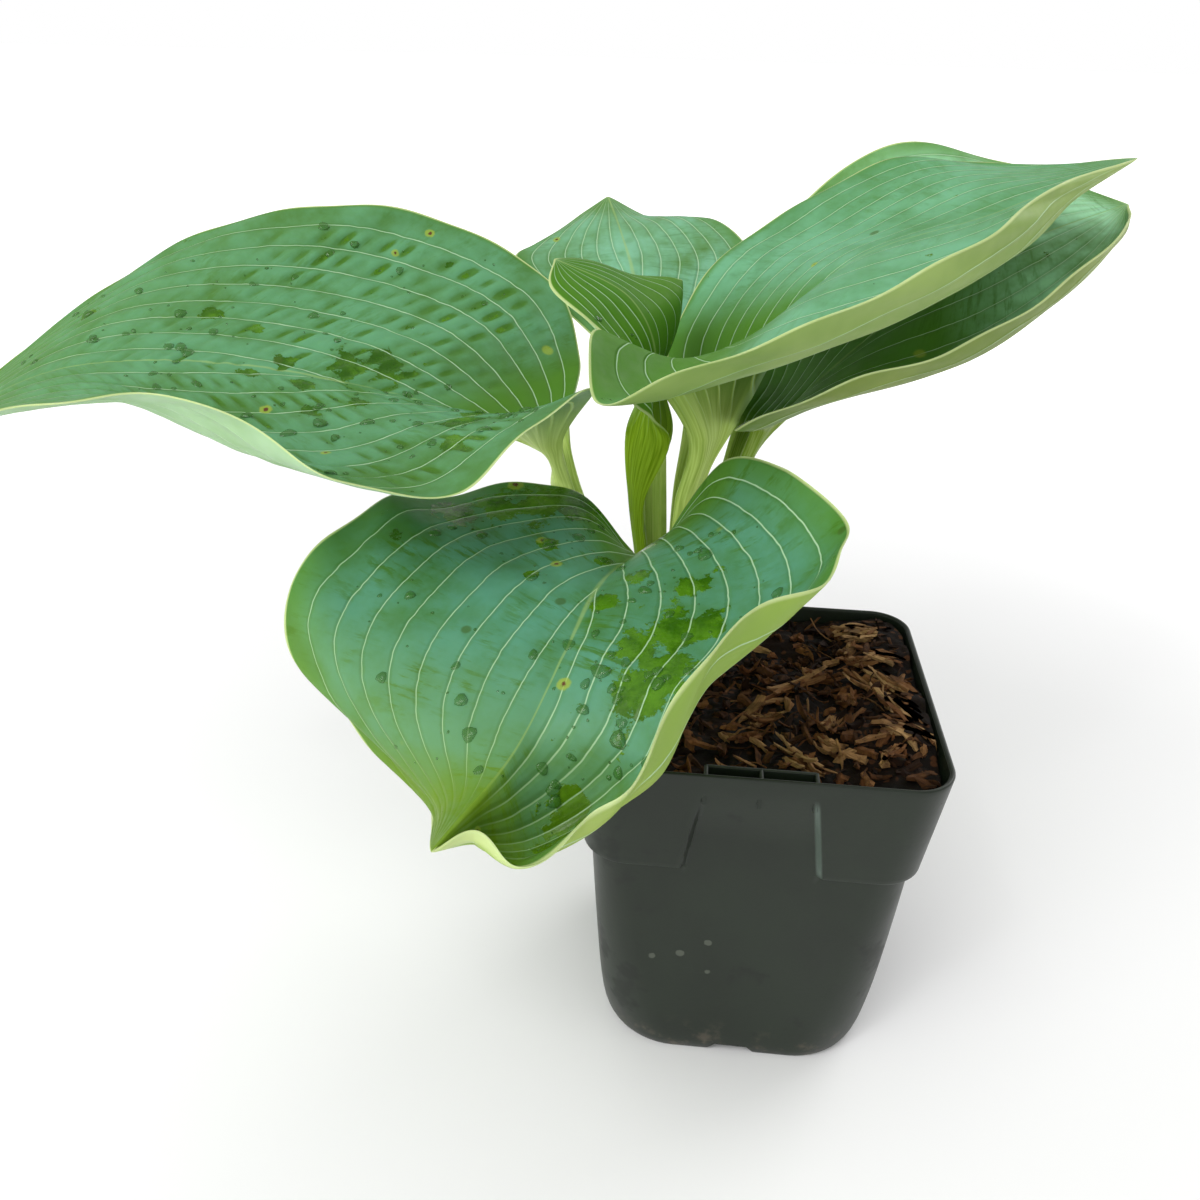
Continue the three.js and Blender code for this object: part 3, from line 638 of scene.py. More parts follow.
def waxy_green(wires, look, colours, leaf):
    """Upper face's bloom of wax, thin toward margin and foot and rubbed off in streaks, painted bluish on the
    crests as painted reflection and darker in the pits as painted shade.
    """
    along, broad, fine, relief = leaf.along, leaf.broad, leaf.fine, leaf.relief
    # Painted reflection: the crests of the puckers are painted more bluish, as if they reflected the sky, on
    # top of a bluish or green tone that varies at random with the noise.
    bluish = wires.math("MULTIPLY_ADD", relief, look["pits"], wires.math("MULTIPLY_ADD", broad, 2.0, -1.1))
    bluish = wires.math("MULTIPLY_ADD", leaf.mottle, 1.3, bluish)
    bloom = wires.mix(wires.remap(bluish, 0.0, 1.0), linear(look["bloom"][1]), linear(look["bloom"][0]))
    bloom = wires.mix(wires.times(fine, 0.12), bloom, colours["bloom_dust"])
    edge_reach, foot_reach = look["fresh"]
    thin_edge = wires.remap(leaf.to_margin, 0.5, float(edge_reach), 0.8, 0.0)
    thin_edge = wires.times(thin_edge, wires.remap(broad, 0.25, 0.6, 0.2, 1.0))
    thin = wires.math("MAXIMUM", thin_edge, wires.remap(along, 0.6 * foot_reach, foot_reach, 0.95, 0.0))
    top = wires.mix(thin, bloom, colours["fresh"])
    bare = wires.mix(fine, colours["bare_dark"], colours["bare"])
    rub_place = wires.add("ShaderNodeCombineXYZ", inputs={
        "X": wires.times(wires.times(leaf.across, leaf.reach), 0.08),
        "Y": wires.times(along, 60.0), "Z": wires.times(broad, 2.0),
    }).outputs["Vector"]
    rubbed = wires.remap(wires.noise(rub_place, 1.0, 4.0, 0.7), 0.48, 0.64)
    rubbed = wires.times(rubbed, wires.group(
        blotch_group(), Vector=leaf.place, Scale=28.0, Low=0.42, High=0.58,
    ).outputs["Mask"])
    top = wires.mix(wires.times(rubbed, look["rub"]), top, bare)
    # Painted shade: the pits between the puckers are darkened toward bare green, more where the mottle is
    # high.
    pits = wires.remap(relief, -0.26, -0.04, look["pits"], 0.0)
    top = wires.mix(wires.times(pits, wires.remap(leaf.mottle, 0.36, 0.58, 0.25, 1.0)), top, bare)
    return top, bare


def upper_face(wires, look, colours, marks, leaf, film):
    """Upper face: waxy green under films of water, pale veins, a yellowish tip and blemishes."""
    place, along, broad = leaf.place, leaf.along, leaf.broad
    top, bare = waxy_green(wires, look, colours, leaf)
    sodden = wires.mix(wires.remap(leaf.mottle, 0.4, 0.6), colours["bare_dark"], colours["bare"])
    top = wires.mix(film, top, sodden)
    # Painted shade: the green is darker beside the veins, in the valleys along them.
    near_vein = wires.remap(leaf.distance, 0.3, 1.4, 0.22, 0.0)
    top = wires.mix(near_vein, top, bare)
    top = wires.mix(wires.times(leaf.line, 0.78), top, colours["vein"])
    top = wires.mix(wires.times(leaf.midrib, 0.5), top, colours["midrib"])
    tip_tone = wires.times(wires.remap(along, 0.68, 0.87), wires.remap(broad, 0.3, 0.6, 0.55, 1.0))
    tip_tone = wires.math("MAXIMUM", tip_tone, wires.remap(along, 0.45, 0.8, 0.0, 0.42))
    top = wires.mix(wires.times(tip_tone, look["yellow"]), top, colours["tip"])

    specks = wires.group(speck_group(), Vector=place, Scale=85.0, Share=0.1, Size=0.16).outputs["Mask"]
    top = wires.mix(wires.times(specks, 0.7), top, colours["speck"])
    pale = wires.group(speck_group(), Vector=place, Scale=52.0, Share=0.09, Size=0.13).outputs["Mask"]
    top = wires.mix(wires.times(pale, 0.7), top, colours["halo"])
    for centre, radius in marks:
        mark = wires.group(spot_group(), Vector=place, Centre=Vector(centre), Radius=radius * MM)
        top = wires.mix(wires.times(mark.outputs["Ring"], 0.8), top, colours["halo"])
        top = wires.mix(mark.outputs["Core"], top, colours["scar"])
    return top


def under_face(wires, look, colours, leaf):
    """Underside: duller, with the stalk's colour running out along the ribs at the blade's foot."""
    along = leaf.along
    below = wires.mix(wires.remap(leaf.broad, 0.35, 0.65), linear(look["under"][0]), linear(look["under"][1]))
    below = wires.mix(wires.times(leaf.fine, 0.08), below, colours["bloom_dust"])
    fan = wires.times(wires.remap(along, 0.02, 0.1), wires.remap(along, 0.14, 0.36, 0.55, 0.0))
    below = wires.mix(fan, below, colours["fresh"])
    rib = wires.times(wires.remap(leaf.distance, 0.2, 0.9, 0.85, 0.0), wires.times(fan, 1.8))
    below = wires.mix(rib, below, linear(look["stalk"][0]))
    below = wires.mix(wires.times(leaf.line, 0.7), below, colours["vein"])
    return wires.mix(wires.times(leaf.midrib, 0.5), below, colours["vein"])


def leaf_material(name, look, colours, marks):
    """Leaf tissue: waxy bloom above that water has washed to bare green in patches, pale veins and
    margin, a duller underside, and a stalk with fine streaks along it."""
    material, wires, shader = new_material(name)
    leaf = leaf_patterns(wires, look)
    across, along, upper, fine = leaf.across, leaf.along, leaf.upper, leaf.fine
    film = water_film(wires, look, leaf)
    foot = wires.math("SUBTRACT", 1.0, upper)
    blade = wires.remap(wires.math("MULTIPLY_ADD", foot, -0.1, along), -0.1, look["climb"])
    top = upper_face(wires, look, colours, marks, leaf, film)
    blade_colour = wires.mix(upper, under_face(wires, look, colours, leaf), top)
    margin = wires.times(wires.remap(leaf.to_margin, 0.35, 0.95, 0.8, 0.0), wires.remap(along, 0.03, 0.16))
    blade_colour = wires.mix(margin, blade_colour, colours["margin"])

    streak_place = wires.add("ShaderNodeCombineXYZ", inputs={
        "X": wires.times(across, 14.0), "Y": wires.times(along, 3.0),
    }).outputs["Vector"]
    streak = wires.noise(streak_place, 1.6, 3.0)
    stalk = wires.mix(wires.remap(streak, 0.3, 0.7), linear(look["stalk"][1]), linear(look["stalk"][0]))
    stalk = wires.mix(wires.remap(along, -1.0, -0.6, 0.35, 0.0), stalk, colours["midrib"])
    colour = wires.mix(blade, stalk, blade_colour)
    wires.feed(shader.inputs["Base Color"], colour)

    shown_film = wires.times(wires.times(film, upper), blade)
    dull = wires.remap(fine, 0.3, 0.7, 0.42, 0.56)
    wires.feed(shader.inputs["Roughness"], wires.math("MULTIPLY_ADD", shown_film, -0.22, dull))
    wires.feed(shader.inputs["Coat Weight"], wires.times(shown_film, 0.1))
    shader.inputs["Coat Roughness"].default_value = 0.06
    shader.inputs["Specular IOR Level"].default_value = look["gloss"]
    shader.inputs["Subsurface Weight"].default_value = 0.18
    shader.inputs["Subsurface Radius"].default_value = (0.8, 1.0, 0.3)
    shader.inputs["Subsurface Scale"].default_value = 1.5 * MM
    groove = wires.times(wires.remap(leaf.distance, 0.0, 1.1, 1.0, 0.0), leaf.faint)
    turn = wires.math("MULTIPLY_ADD", upper, -2.0, 1.0)
    height = wires.times(wires.times(groove, turn), blade)
    height = wires.math("MULTIPLY_ADD", fine, 0.12, height)
    ripple = wires.times(wires.noise(leaf.place, 330.0, 2.0), shown_film)
    height = wires.math("MULTIPLY_ADD", ripple, 1.6, height)
    height = wires.math("MULTIPLY_ADD", streak, wires.math("MULTIPLY_ADD", blade, -0.5, 0.5), height)
    wires.feed(shader.inputs["Normal"], wires.bump(height, 0.55, 0.35 * MM))
    return material


def leaf_mesh(grid, settings):
    """Closed leaf: the sheet raised and lowered by half its tissue, thick at the stalk and thin in
    the blade, the two faces meeting in a round margin and at one tip point."""
    points, normals, s, v = grid["points"], grid["normals"], grid["s"], grid["v"]
    rows, columns = len(s), len(v)
    thinning = (settings.blade_tissue - settings.stalk_tissue) / 2
    half = settings.stalk_tissue / 2 + thinning * ease(s, -0.1, 0.12)
    edge = np.sqrt(np.maximum(1 - np.abs(v)**60, 0))
    closing = np.sqrt(1 - np.maximum(s, 0)**40)
    offset = half[:, None] * edge[None, :] * closing[:, None]
    from_middle = v[None, :] * grid["reach"]
    ridge = settings.midrib_ridge * ((1 - s) * ease(s, -0.1, 0.12))[:, None]
    ridge = ridge * np.exp(-(from_middle / MIDRIB_HALF)**2)
    cells = vein_place(v[None, :], s[:, None]) * grid["veins"]
    rib = settings.vein_ridge * np.exp(-(np.sin(np.pi * cells) / 0.35)**2) * ease(s, -0.05, 0.1)[:, None]
    rib = rib * (1 - np.abs(v[None, :])**8) * ease(grid["reach"] / grid["veins"], 2.0, 9.0)
    up = points + normals * offset[..., None]
    down = points - normals * (offset + ridge + rib)[..., None]
    inner = down[:, 1:-1]
    tip = points[-1].mean(axis=0) + (points[-1].mean(axis=0) - points[-2].mean(axis=0))
    corners = np.concatenate([up.reshape(-1, 3), inner.reshape(-1, 3), tip[None]])

    top_number = np.arange(rows * columns).reshape(rows, columns)
    low_number = top_number.copy()
    low_number[:, 1:-1] = rows * columns + np.arange(rows * (columns - 2)).reshape(rows, columns - 2)
    quads = grid_quads(rows, columns)
    faces = quads.tolist() + low_number.ravel()[quads][:, ::-1].tolist()
    tip_number = len(corners) - 1
    last_top, last_low = top_number[-1], low_number[-1]
    for line, ahead in ((last_top, 1), (last_low, -1)):
        pairs = np.stack([line[:-1], line[1:]], axis=1)[:, ::-ahead]
        faces += [[tip_number, *pair] for pair in pairs.tolist()]
    faces.append(low_number[0, ::-1].tolist() + top_number[0, 1:-1].tolist())

    upper = np.concatenate([np.repeat(1.0, rows * columns), np.zeros(inner[..., 0].size), [0.5]])
    upper[:rows * columns].reshape(rows, columns)[:, [0, -1]] = 0.5
    data = {"upper": upper}
    for label in ("reach", "crest", "wet"):
        values = grid[label]
        data[label] = np.concatenate([values.ravel(), values[:, 1:-1].ravel(), [values[-1].min()]])
    place = np.stack(np.broadcast_arrays(v[None, :], s[:, None]), axis=-1)
    uv = np.concatenate([place.reshape(-1, 2), place[:, 1:-1].reshape(-1, 2), [[0.0, 1.0]]])
    return corners, faces, data, uv


# Grids of the leaves by name, which the drops are laid on
GRIDS = {}


def chosen_colours(settings, names):
    """Colours of a settings group by name."""
    return {name: tuple(getattr(settings, name)) for name in names}


def leaf_colours(settings):
    """The leaf colours that a user may change, by name."""
    names = (
        "bloom_dust", "fresh", "bare", "bare_dark", "vein", "midrib", "margin", "tip", "speck", "halo",
        "scar",
    )
    return chosen_colours(settings, names)


def nearest_point(grid, along, across):
    """Grid numbers of the place nearest to s and v."""
    return np.abs(grid["s"] - along).argmin(), np.abs(grid["v"] - across).argmin()


def make_leaf(name, number, settings):
    """One leaf with its stalk, standing for the CAD node of the same name."""
    look = LOOKS[name]
    grid = leaf_grid(LEAVES[name], look, 100 + number)
    grid["veins"] = look["veins"]
    GRIDS[name] = grid
    marks = [
        (tuple(grid["points"][nearest_point(grid, along, across)]), radius)
        for along, across, radius in look["spots"]
    ]
    material = leaf_material(f"{name}_tissue", look, leaf_colours(settings), marks)
    corners, faces, data, uv = leaf_mesh(grid, settings)
    piece = new_piece(f"{name}_fine", corners, faces, material, math.radians(60), data, uv)
    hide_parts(name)
    return piece


# Water drops: leaf, how many, and the window of s and v that they lie in
DROP_FIELDS = [
    ("leaf_front", 90, (0.2, 0.75), (0.15, 0.75)),
    ("leaf_front", 50, (0.15, 0.8), (-0.8, 0.1)),
    ("leaf_front", 14, (0.1, 0.25), (-0.9, -0.3)),
    ("leaf_left", 110, (0.18, 0.62), (-0.3, 0.9)),
    ("leaf_left", 60, (0.3, 0.85), (-0.95, -0.2)),
    ("leaf_young", 16, (0.3, 0.8), (0.3, 0.95)),
    ("leaf_right", 10, (0.05, 0.3), (-0.2, 0.4)),
]
# Drops at their places in the photograph: place along and across, and radius in millimetres
KNOWN_DROPS = {
    "leaf_front": [
        (0.6, 0.39, 2.1), (0.61, 0.56, 1.6), (0.43, 0.09, 1.5), (0.55, 0.3, 1.3), (0.66, 0.5, 1.4),
        (0.63, 0.62, 1.7), (0.3, 0.2, 1.6), (0.36, 0.3, 1.2), (0.24, -0.39, 2.0), (0.35, -0.27, 1.5),
    ],
    "leaf_left": [
        (0.62, -0.34, 2.0), (0.79, -0.58, 1.8), (0.3, 0.5, 1.6), (0.35, 0.4, 1.7), (0.22, 0.7, 1.8),
    ],
}
# A drop's corners round, its rings as shares of the quarter turn from base to top, and how far its
# middle stands off the leaf's middle sheet in millimetres
DROP_SIDES = 10
DROP_LEVELS = np.array([0.0, 0.3, 0.62, 0.86])
DROP_STAND = 0.36


def drop_shape():
    """Unit drop: rings of a flattened dome, a top point and a base point."""
    angle = np.arange(DROP_SIDES) / DROP_SIDES * 2 * np.pi
    radius = np.cos(DROP_LEVELS * np.pi / 2)**0.7
    height = np.sin(DROP_LEVELS * np.pi / 2)
    rings = np.stack([
        radius[:, None] * np.cos(angle), radius[:, None] * np.sin(angle), height[:, None] + 0 * angle,
    ], axis=-1).reshape(-1, 3)
    shape = np.concatenate([rings, [[0, 0, 1.0]], [[0, 0, -0.15]]])
    top, base = len(rings), len(rings) + 1
    last = top - DROP_SIDES
    faces = ring_quads(len(DROP_LEVELS), DROP_SIDES).tolist()
    for k in range(DROP_SIDES):
        after = (k + 1) % DROP_SIDES
        faces.append([last + k, last + after, top])
        faces.append([after, k, base])
    return shape, faces


def strewn_drops(count, along, across, settings, random):
    """Places along and across and sizes of drops strewn over a window of a leaf; most are small."""
    size = settings.smallest + (settings.largest - settings.smallest) * random.uniform(0, 1, count)**3.2
    return np.stack([random.uniform(*along, count), random.uniform(*across, count), size], axis=1)


def drop_places(grid, drops, random):
    """Places and axes of drops on the leaf's upper face, each stretched a little one way."""
    along, across, size = drops.T
    count = len(drops)
    rows = np.searchsorted(grid["s"], along)
    columns = np.searchsorted(grid["v"], across)
    points, normals = grid["points"], grid["normals"]
    normal = normals[rows, columns]
    ahead = unit(points[rows + 1, columns] - points[rows, columns])
    side = unit(np.cross(normal, ahead))
    turn = random.uniform(0, np.pi, count)[:, None]
    first = ahead * np.cos(turn) + side * np.sin(turn)
    second = np.cross(normal, first)
    stretch = random.uniform(0.75, 1.45, count)
    place = points[rows, columns] + normal * DROP_STAND * MM
    return place, first * (size * stretch)[:, None], second * size[:, None], normal * (size * 0.5)[:, None]


def water_material():
    """Clear water: a thin gleaming skin that deepens the green below it."""
    material, wires, shader = new_material("water")
    shader.inputs["Base Color"].default_value = (*linear("#3f7428"), 1.0)
    shader.inputs["IOR"].default_value = 1.5
    uneven = wires.noise(wires.place(), 500.0, 1.0)
    wires.feed(shader.inputs["Roughness"], wires.remap(uneven, 0.3, 0.7, 0.03, 0.08))
    wires.feed(shader.inputs["Alpha"], wires.remap(uneven, 0.3, 0.7, 0.4, 0.6))
    return material


def make_drops(name, settings, random, material):
    """All drops of one leaf, fused into one piece."""
    shape, faces = drop_shape()
    drops = [strewn_drops(*field[1:], settings, random) for field in DROP_FIELDS if field[0] == name]
    drops.append(np.reshape(KNOWN_DROPS.get(name, []), (-1, 3)) * (1, 1, MM))
    centre, first, second, third = drop_places(GRIDS[name], np.concatenate(drops), random)
    count = len(centre)
    outline = 1 + 0.12 * np.sin(
        3 * np.arctan2(shape[:, 1], shape[:, 0])[None, :] + random.uniform(0, 6.28, (count, 1))
    )
    corners = centre[:, None] + (
        first[:, None] * (shape[None, :, 0:1] * outline[..., None])
        + second[:, None] * (shape[None, :, 1:2] * outline[..., None])
        + third[:, None] * shape[None, :, 2:3]
    )
    numbers = [[len(shape) * k + corner for corner in face] for k in range(count) for face in faces]
    return new_piece(f"{name}_drops", corners.reshape(-1, 3), numbers, material, math.radians(70))


# Outer sections of the pot below its band, the lower six as in the part's source: height, width and
# corner radius in millimetres
BODY_SECTIONS = [
    (0, 87, 23.5), (1.5, 89, 24), (5, 91.2, 24), (12, 93, 22.5), (25, 94.8, 19.5), (40, 96.4, 17),
    (60, 98.7, 15.6), (86, 101.6, 14.5),
]
# Band round the pot's top: its foot, and its width and corner radius at foot and rim
BAND_FOOT = 86.0
BAND_WIDTHS = (106.0, 114.0)
BAND_CORNERS = (14.0, 13.5)
# Steps of the pot's mesh round a corner and along a side
CORNER_STEPS = 14
SIDE_STEPS = 64
# Label recess: full width at foot and head, where its panel lies, how much the panel leans out with
# height, and half the width of its slanted edges. Then the pocket behind the rim and the notches.
RECESS = {"foot": 42.0, "head": 31.0, "panel": 50.8, "slope": 0.055, "edge": 1.1}
POCKET = {"fade": (98.0, 121.0), "low": 114.0, "half": 15.5, "back": 51.5, "wall": 1.3, "rib": 1.2}
NOTCH = {"foot": 18.0, "head": 11.0, "height": 4.2, "depth": 14.0}


def pot_profile(settings):
    """Sections of the closed pot shell in millimetres from the middle of the underside out, up the
    outer wall with its band, over the round rim, down the inner wall and in to the middle of the
    floor: height, width, corner radius, and how far inside the outer wall."""
    wall = settings.wall / MM
    floor = settings.floor / MM
    body = catmull_rom(BODY_SECTIONS, np.linspace(0, 1, 56))
    swell = np.linspace(0, 1, 7)[1:]
    flare = BODY_SECTIONS[-1][1] + (BAND_WIDTHS[0] - BODY_SECTIONS[-1][1]) * ease(swell, -0.2, 1.0)
    ledge = np.stack([BAND_FOOT + 1.2 * swell**1.5, flare, 14.5 - 0.5 * swell], axis=1)
    rise = np.linspace(0, 1, 26)[1:]
    top = POT_TOP - wall / 2
    band = np.stack([
        BAND_FOOT + 1.2 + (top - BAND_FOOT - 1.2) * rise,
        BAND_WIDTHS[0] + (BAND_WIDTHS[1] - BAND_WIDTHS[0]) * rise,
        BAND_CORNERS[0] + (BAND_CORNERS[1] - BAND_CORNERS[0]) * rise,
    ], axis=1)
    outer = np.concatenate([body, ledge, band])
    outer = np.concatenate([outer, np.zeros((len(outer), 1))], axis=1)
    bend = np.linspace(0, np.pi, 9)[1:-1]
    rim = np.stack([
        top + wall / 2 * np.sin(bend), np.full(bend.shape, BAND_WIDTHS[1]),
        np.full(bend.shape, BAND_CORNERS[1]), wall / 2 * (1 - np.cos(bend)),
    ], axis=1)
    inner = outer[::-1].copy()
    inner[:, 3] = wall
    inner[:, 0] = np.where(inner[:, 0] > BAND_FOOT, np.minimum(inner[:, 0] + wall, top), inner[:, 0])
    inner = inner[inner[:, 0] > floor + 2]
    last = inner[-1]
    bowl = np.array([
        [floor + 1.2, last[1] - 0.8, last[2], wall], [floor + 0.4, last[1] - 2.4, last[2], wall],
        [floor, last[1] - 5, last[2], wall],
    ])
    inward = np.linspace(1, 0, 12)[1:-1, None]
    under = np.concatenate([inward[::-1] * 0, inward[::-1] * 85, inward[::-1] * 23, inward * 0], axis=1)
    inside = np.concatenate([
        inward * 0 + floor, inward * 82, inward * 22, inward * 0 + wall * inward,
    ], axis=1)
    edge = np.array([[0.25, 86.2, 23.4, 0.0]])
    return np.concatenate([under, edge * [0, 0.995, 1, 1], outer, rim, inner, bowl, inside])


def rounded_square(section):
    """Rings of a square with round corners, counter-clockwise from above, one for each section.
    On the front side the columns follow the slanted edges of the label recess, so that they stay
    clean: x runs straight from the middle to the recess edge and on to the corner."""
    z, width, corner, inset = (section[:, k, None] for k in range(4))
    half = np.maximum(width / 2 - inset, 0.01)
    radius = np.maximum(np.minimum(corner - inset, half * 0.98), 0.005)
    flat = half - radius
    angle = np.linspace(0, np.pi / 2, CORNER_STEPS + 1)
    share = np.linspace(-1, 1, SIDE_STEPS + 1)[1:-1]
    sides = []
    for quarter in range(4):
        if quarter == 2:
            at = front_columns(z, flat, share)
        else:
            at = flat * share
        corner_x = flat + radius * np.cos(angle)
        corner_y = flat + radius * np.sin(angle)
        side_x = -at
        side_y = half + 0 * at
        x = np.concatenate([corner_x, side_x], axis=1)
        y = np.concatenate([corner_y, side_y], axis=1)
        turn = quarter * np.pi / 2
        sides.append(np.stack([
            x * math.cos(turn) - y * math.sin(turn), x * math.sin(turn) + y * math.cos(turn), z + 0 * x,
        ], axis=-1))
    return np.concatenate(sides, axis=1)


# Shares of the front side's columns at the inner and outer end of the recess's slanted edge
RECESS_SHARES = (0.4, 0.56)


def recess_half(z):
    """Half width of the label recess at a height: 21 mm at the band's foot and 15.5 at the rim."""
    share = np.clip((z - BAND_FOOT) / (POT_TOP - BAND_FOOT), 0, 1)
    return (RECESS["foot"] + (RECESS["head"] - RECESS["foot"]) * share) / 2


def front_columns(z, flat, share):
    """x of the front side's columns: shares up to the first of RECESS_SHARES lie in the
    recess, those from the second outside it."""
    low, high = RECESS_SHARES
    edge = np.minimum(recess_half(z), 0.5 * flat)
    inner = edge - np.minimum(RECESS["edge"], edge * 0.05)
    outer = edge + np.minimum(RECESS["edge"], edge * 0.05)
    away = np.abs(share)
    x = np.where(away < low, inner * away / low, inner + (outer - inner) * (away - low) / (high - low))
    x = np.where(away > high, outer + (flat - outer) * (away - high) / (1 - high), x)
    return x * np.sign(share)


def press_recess(points, section):
    """The front of the band pressed back between the recess's slanted edges to the label panel,
    which carries on the slope of the body below it and fades out under the rim."""
    x, y, z = points[..., 0], points[..., 1], points[..., 2]
    inset = section[:, 3, None]
    half = recess_half(z)
    edge = RECESS["edge"]
    across = 1 - ease(np.abs(x), half - edge, half + edge)
    above = ease(z, BAND_FOOT - 6, BAND_FOOT - 1)
    above = above * (1 - ease(z, *POCKET["fade"]))
    panel = inset - RECESS["panel"] - RECESS["slope"] * (z - BAND_FOOT)
    front = (y < -40) & (y < panel)
    points[..., 1] = np.where(front, y + (panel - y) * across * above, y)
    return points


def shell_faces(rings, around):
    """Faces of a shell of rings whose first and last ring are closed by fans to two pole points."""
    faces = ring_quads(rings, around).tolist()
    first, last = rings * around, rings * around + 1
    end = (rings - 1) * around
    for k in range(around):
        after = (k + 1) % around
        faces.append([after, k, first])
        faces.append([end + k, end + after, last])
    return faces


def prism(low, high, outlines):
    """Closed prisms: each outline is a list of x, y at the low height and one at the high height."""
    points, faces = [], []
    for foot, head in outlines:
        count, start = len(foot), len(points)
        points += [(x, y, low) for x, y in foot] + [(x, y, high) for x, y in head]
        faces.append([start + k for k in reversed(range(count))])
        faces.append([start + count + k for k in range(count)])
        for k in range(count):
            after = (k + 1) % count
            faces.append([start + k, start + after, start + count + after, start + count + k])
    mesh = bpy.data.meshes.new("cutter")
    mesh.from_pydata((np.array(points) * MM).tolist(), [], faces)
    cutter = bpy.data.objects.new("cutter", mesh)
    bpy.context.collection.objects.link(cutter)
    return cutter


def turned(outline):
    """The outline turned to each of the pot's four sides."""
    sides = []
    for quarter in range(4):
        c, s = round(math.cos(quarter * math.pi / 2)), round(math.sin(quarter * math.pi / 2))
        sides.append([(c * x - s * y, s * x + c * y) for x, y in outline])
    return sides


def notch_cutter(margin, low, outward):
    """The notches under the middles of the pot's sides, grown by a margin."""
    inner = NOTCH["depth"] + margin - BODY_SECTIONS[0][1] / 2

    def outline(width):
        half = width / 2 + margin
        return [(-half, -outward), (half, -outward), (half, inner), (-half, inner)]

    pairs = list(zip(turned(outline(NOTCH["foot"])), turned(outline(NOTCH["head"]))))
    return prism(low, NOTCH["height"] + margin, pairs)


def drain_cutter(settings):
    """The round drain holes: one in each notch's roof and one in each quarter of the floor."""
    side = (BODY_SECTIONS[0][1] - NOTCH["depth"]) / 2
    angle = np.arange(24) / 24 * 2 * np.pi
    radius = settings.drain_radius / MM
    rounds = []
    for x, y in ((side, 0), (side / 2, side / 2)):
        ring = [(x + radius * math.cos(a), y + radius * math.sin(a)) for a in angle]
        rounds += turned(ring)
    return prism(-1, NOTCH["height"] + 4, [(ring, ring) for ring in rounds])


def carve(piece, steps):
    """Applies Boolean steps to a piece's mesh and deletes their cutters."""
    for operation, cutter in steps:
        modifier = piece.modifiers.new("carve", "BOOLEAN")
        modifier.operation = operation
        modifier.object = cutter
        modifier.solver = "EXACT"
    graph = bpy.context.evaluated_depsgraph_get()
    mesh = bpy.data.meshes.new_from_object(piece.evaluated_get(graph))
    piece.modifiers.clear()
    old = piece.data
    piece.data = mesh
    bpy.data.meshes.remove(old)
    for _, cutter in steps:
        bpy.data.meshes.remove(cutter.data)


def rounded_bar(start, end, size, corner, lean):
    """Closed bar between two points: a rounded rectangle carried along a straight line, thick in
    the direction of the lean vector."""
    start, end = np.array(start, float), np.array(end, float)
    along = unit(end - start)
    thick = unit(np.array(lean, float) - along * (along @ np.array(lean, float)))
    tall = np.cross(along, thick)
    angle = np.linspace(0, 2 * np.pi, 24, endpoint=False) + np.pi / 24
    round_x = np.cos(angle) * corner + np.sign(np.cos(angle)) * (size[0] / 2 - corner)
    round_y = np.sin(angle) * corner + np.sign(np.sin(angle)) * (size[1] / 2 - corner)
    ring = thick * round_x[:, None] + tall * round_y[:, None]
    stations = np.linspace(0, 1, 14)[:, None, None]
    return start + (end - start) * stations + ring[None]


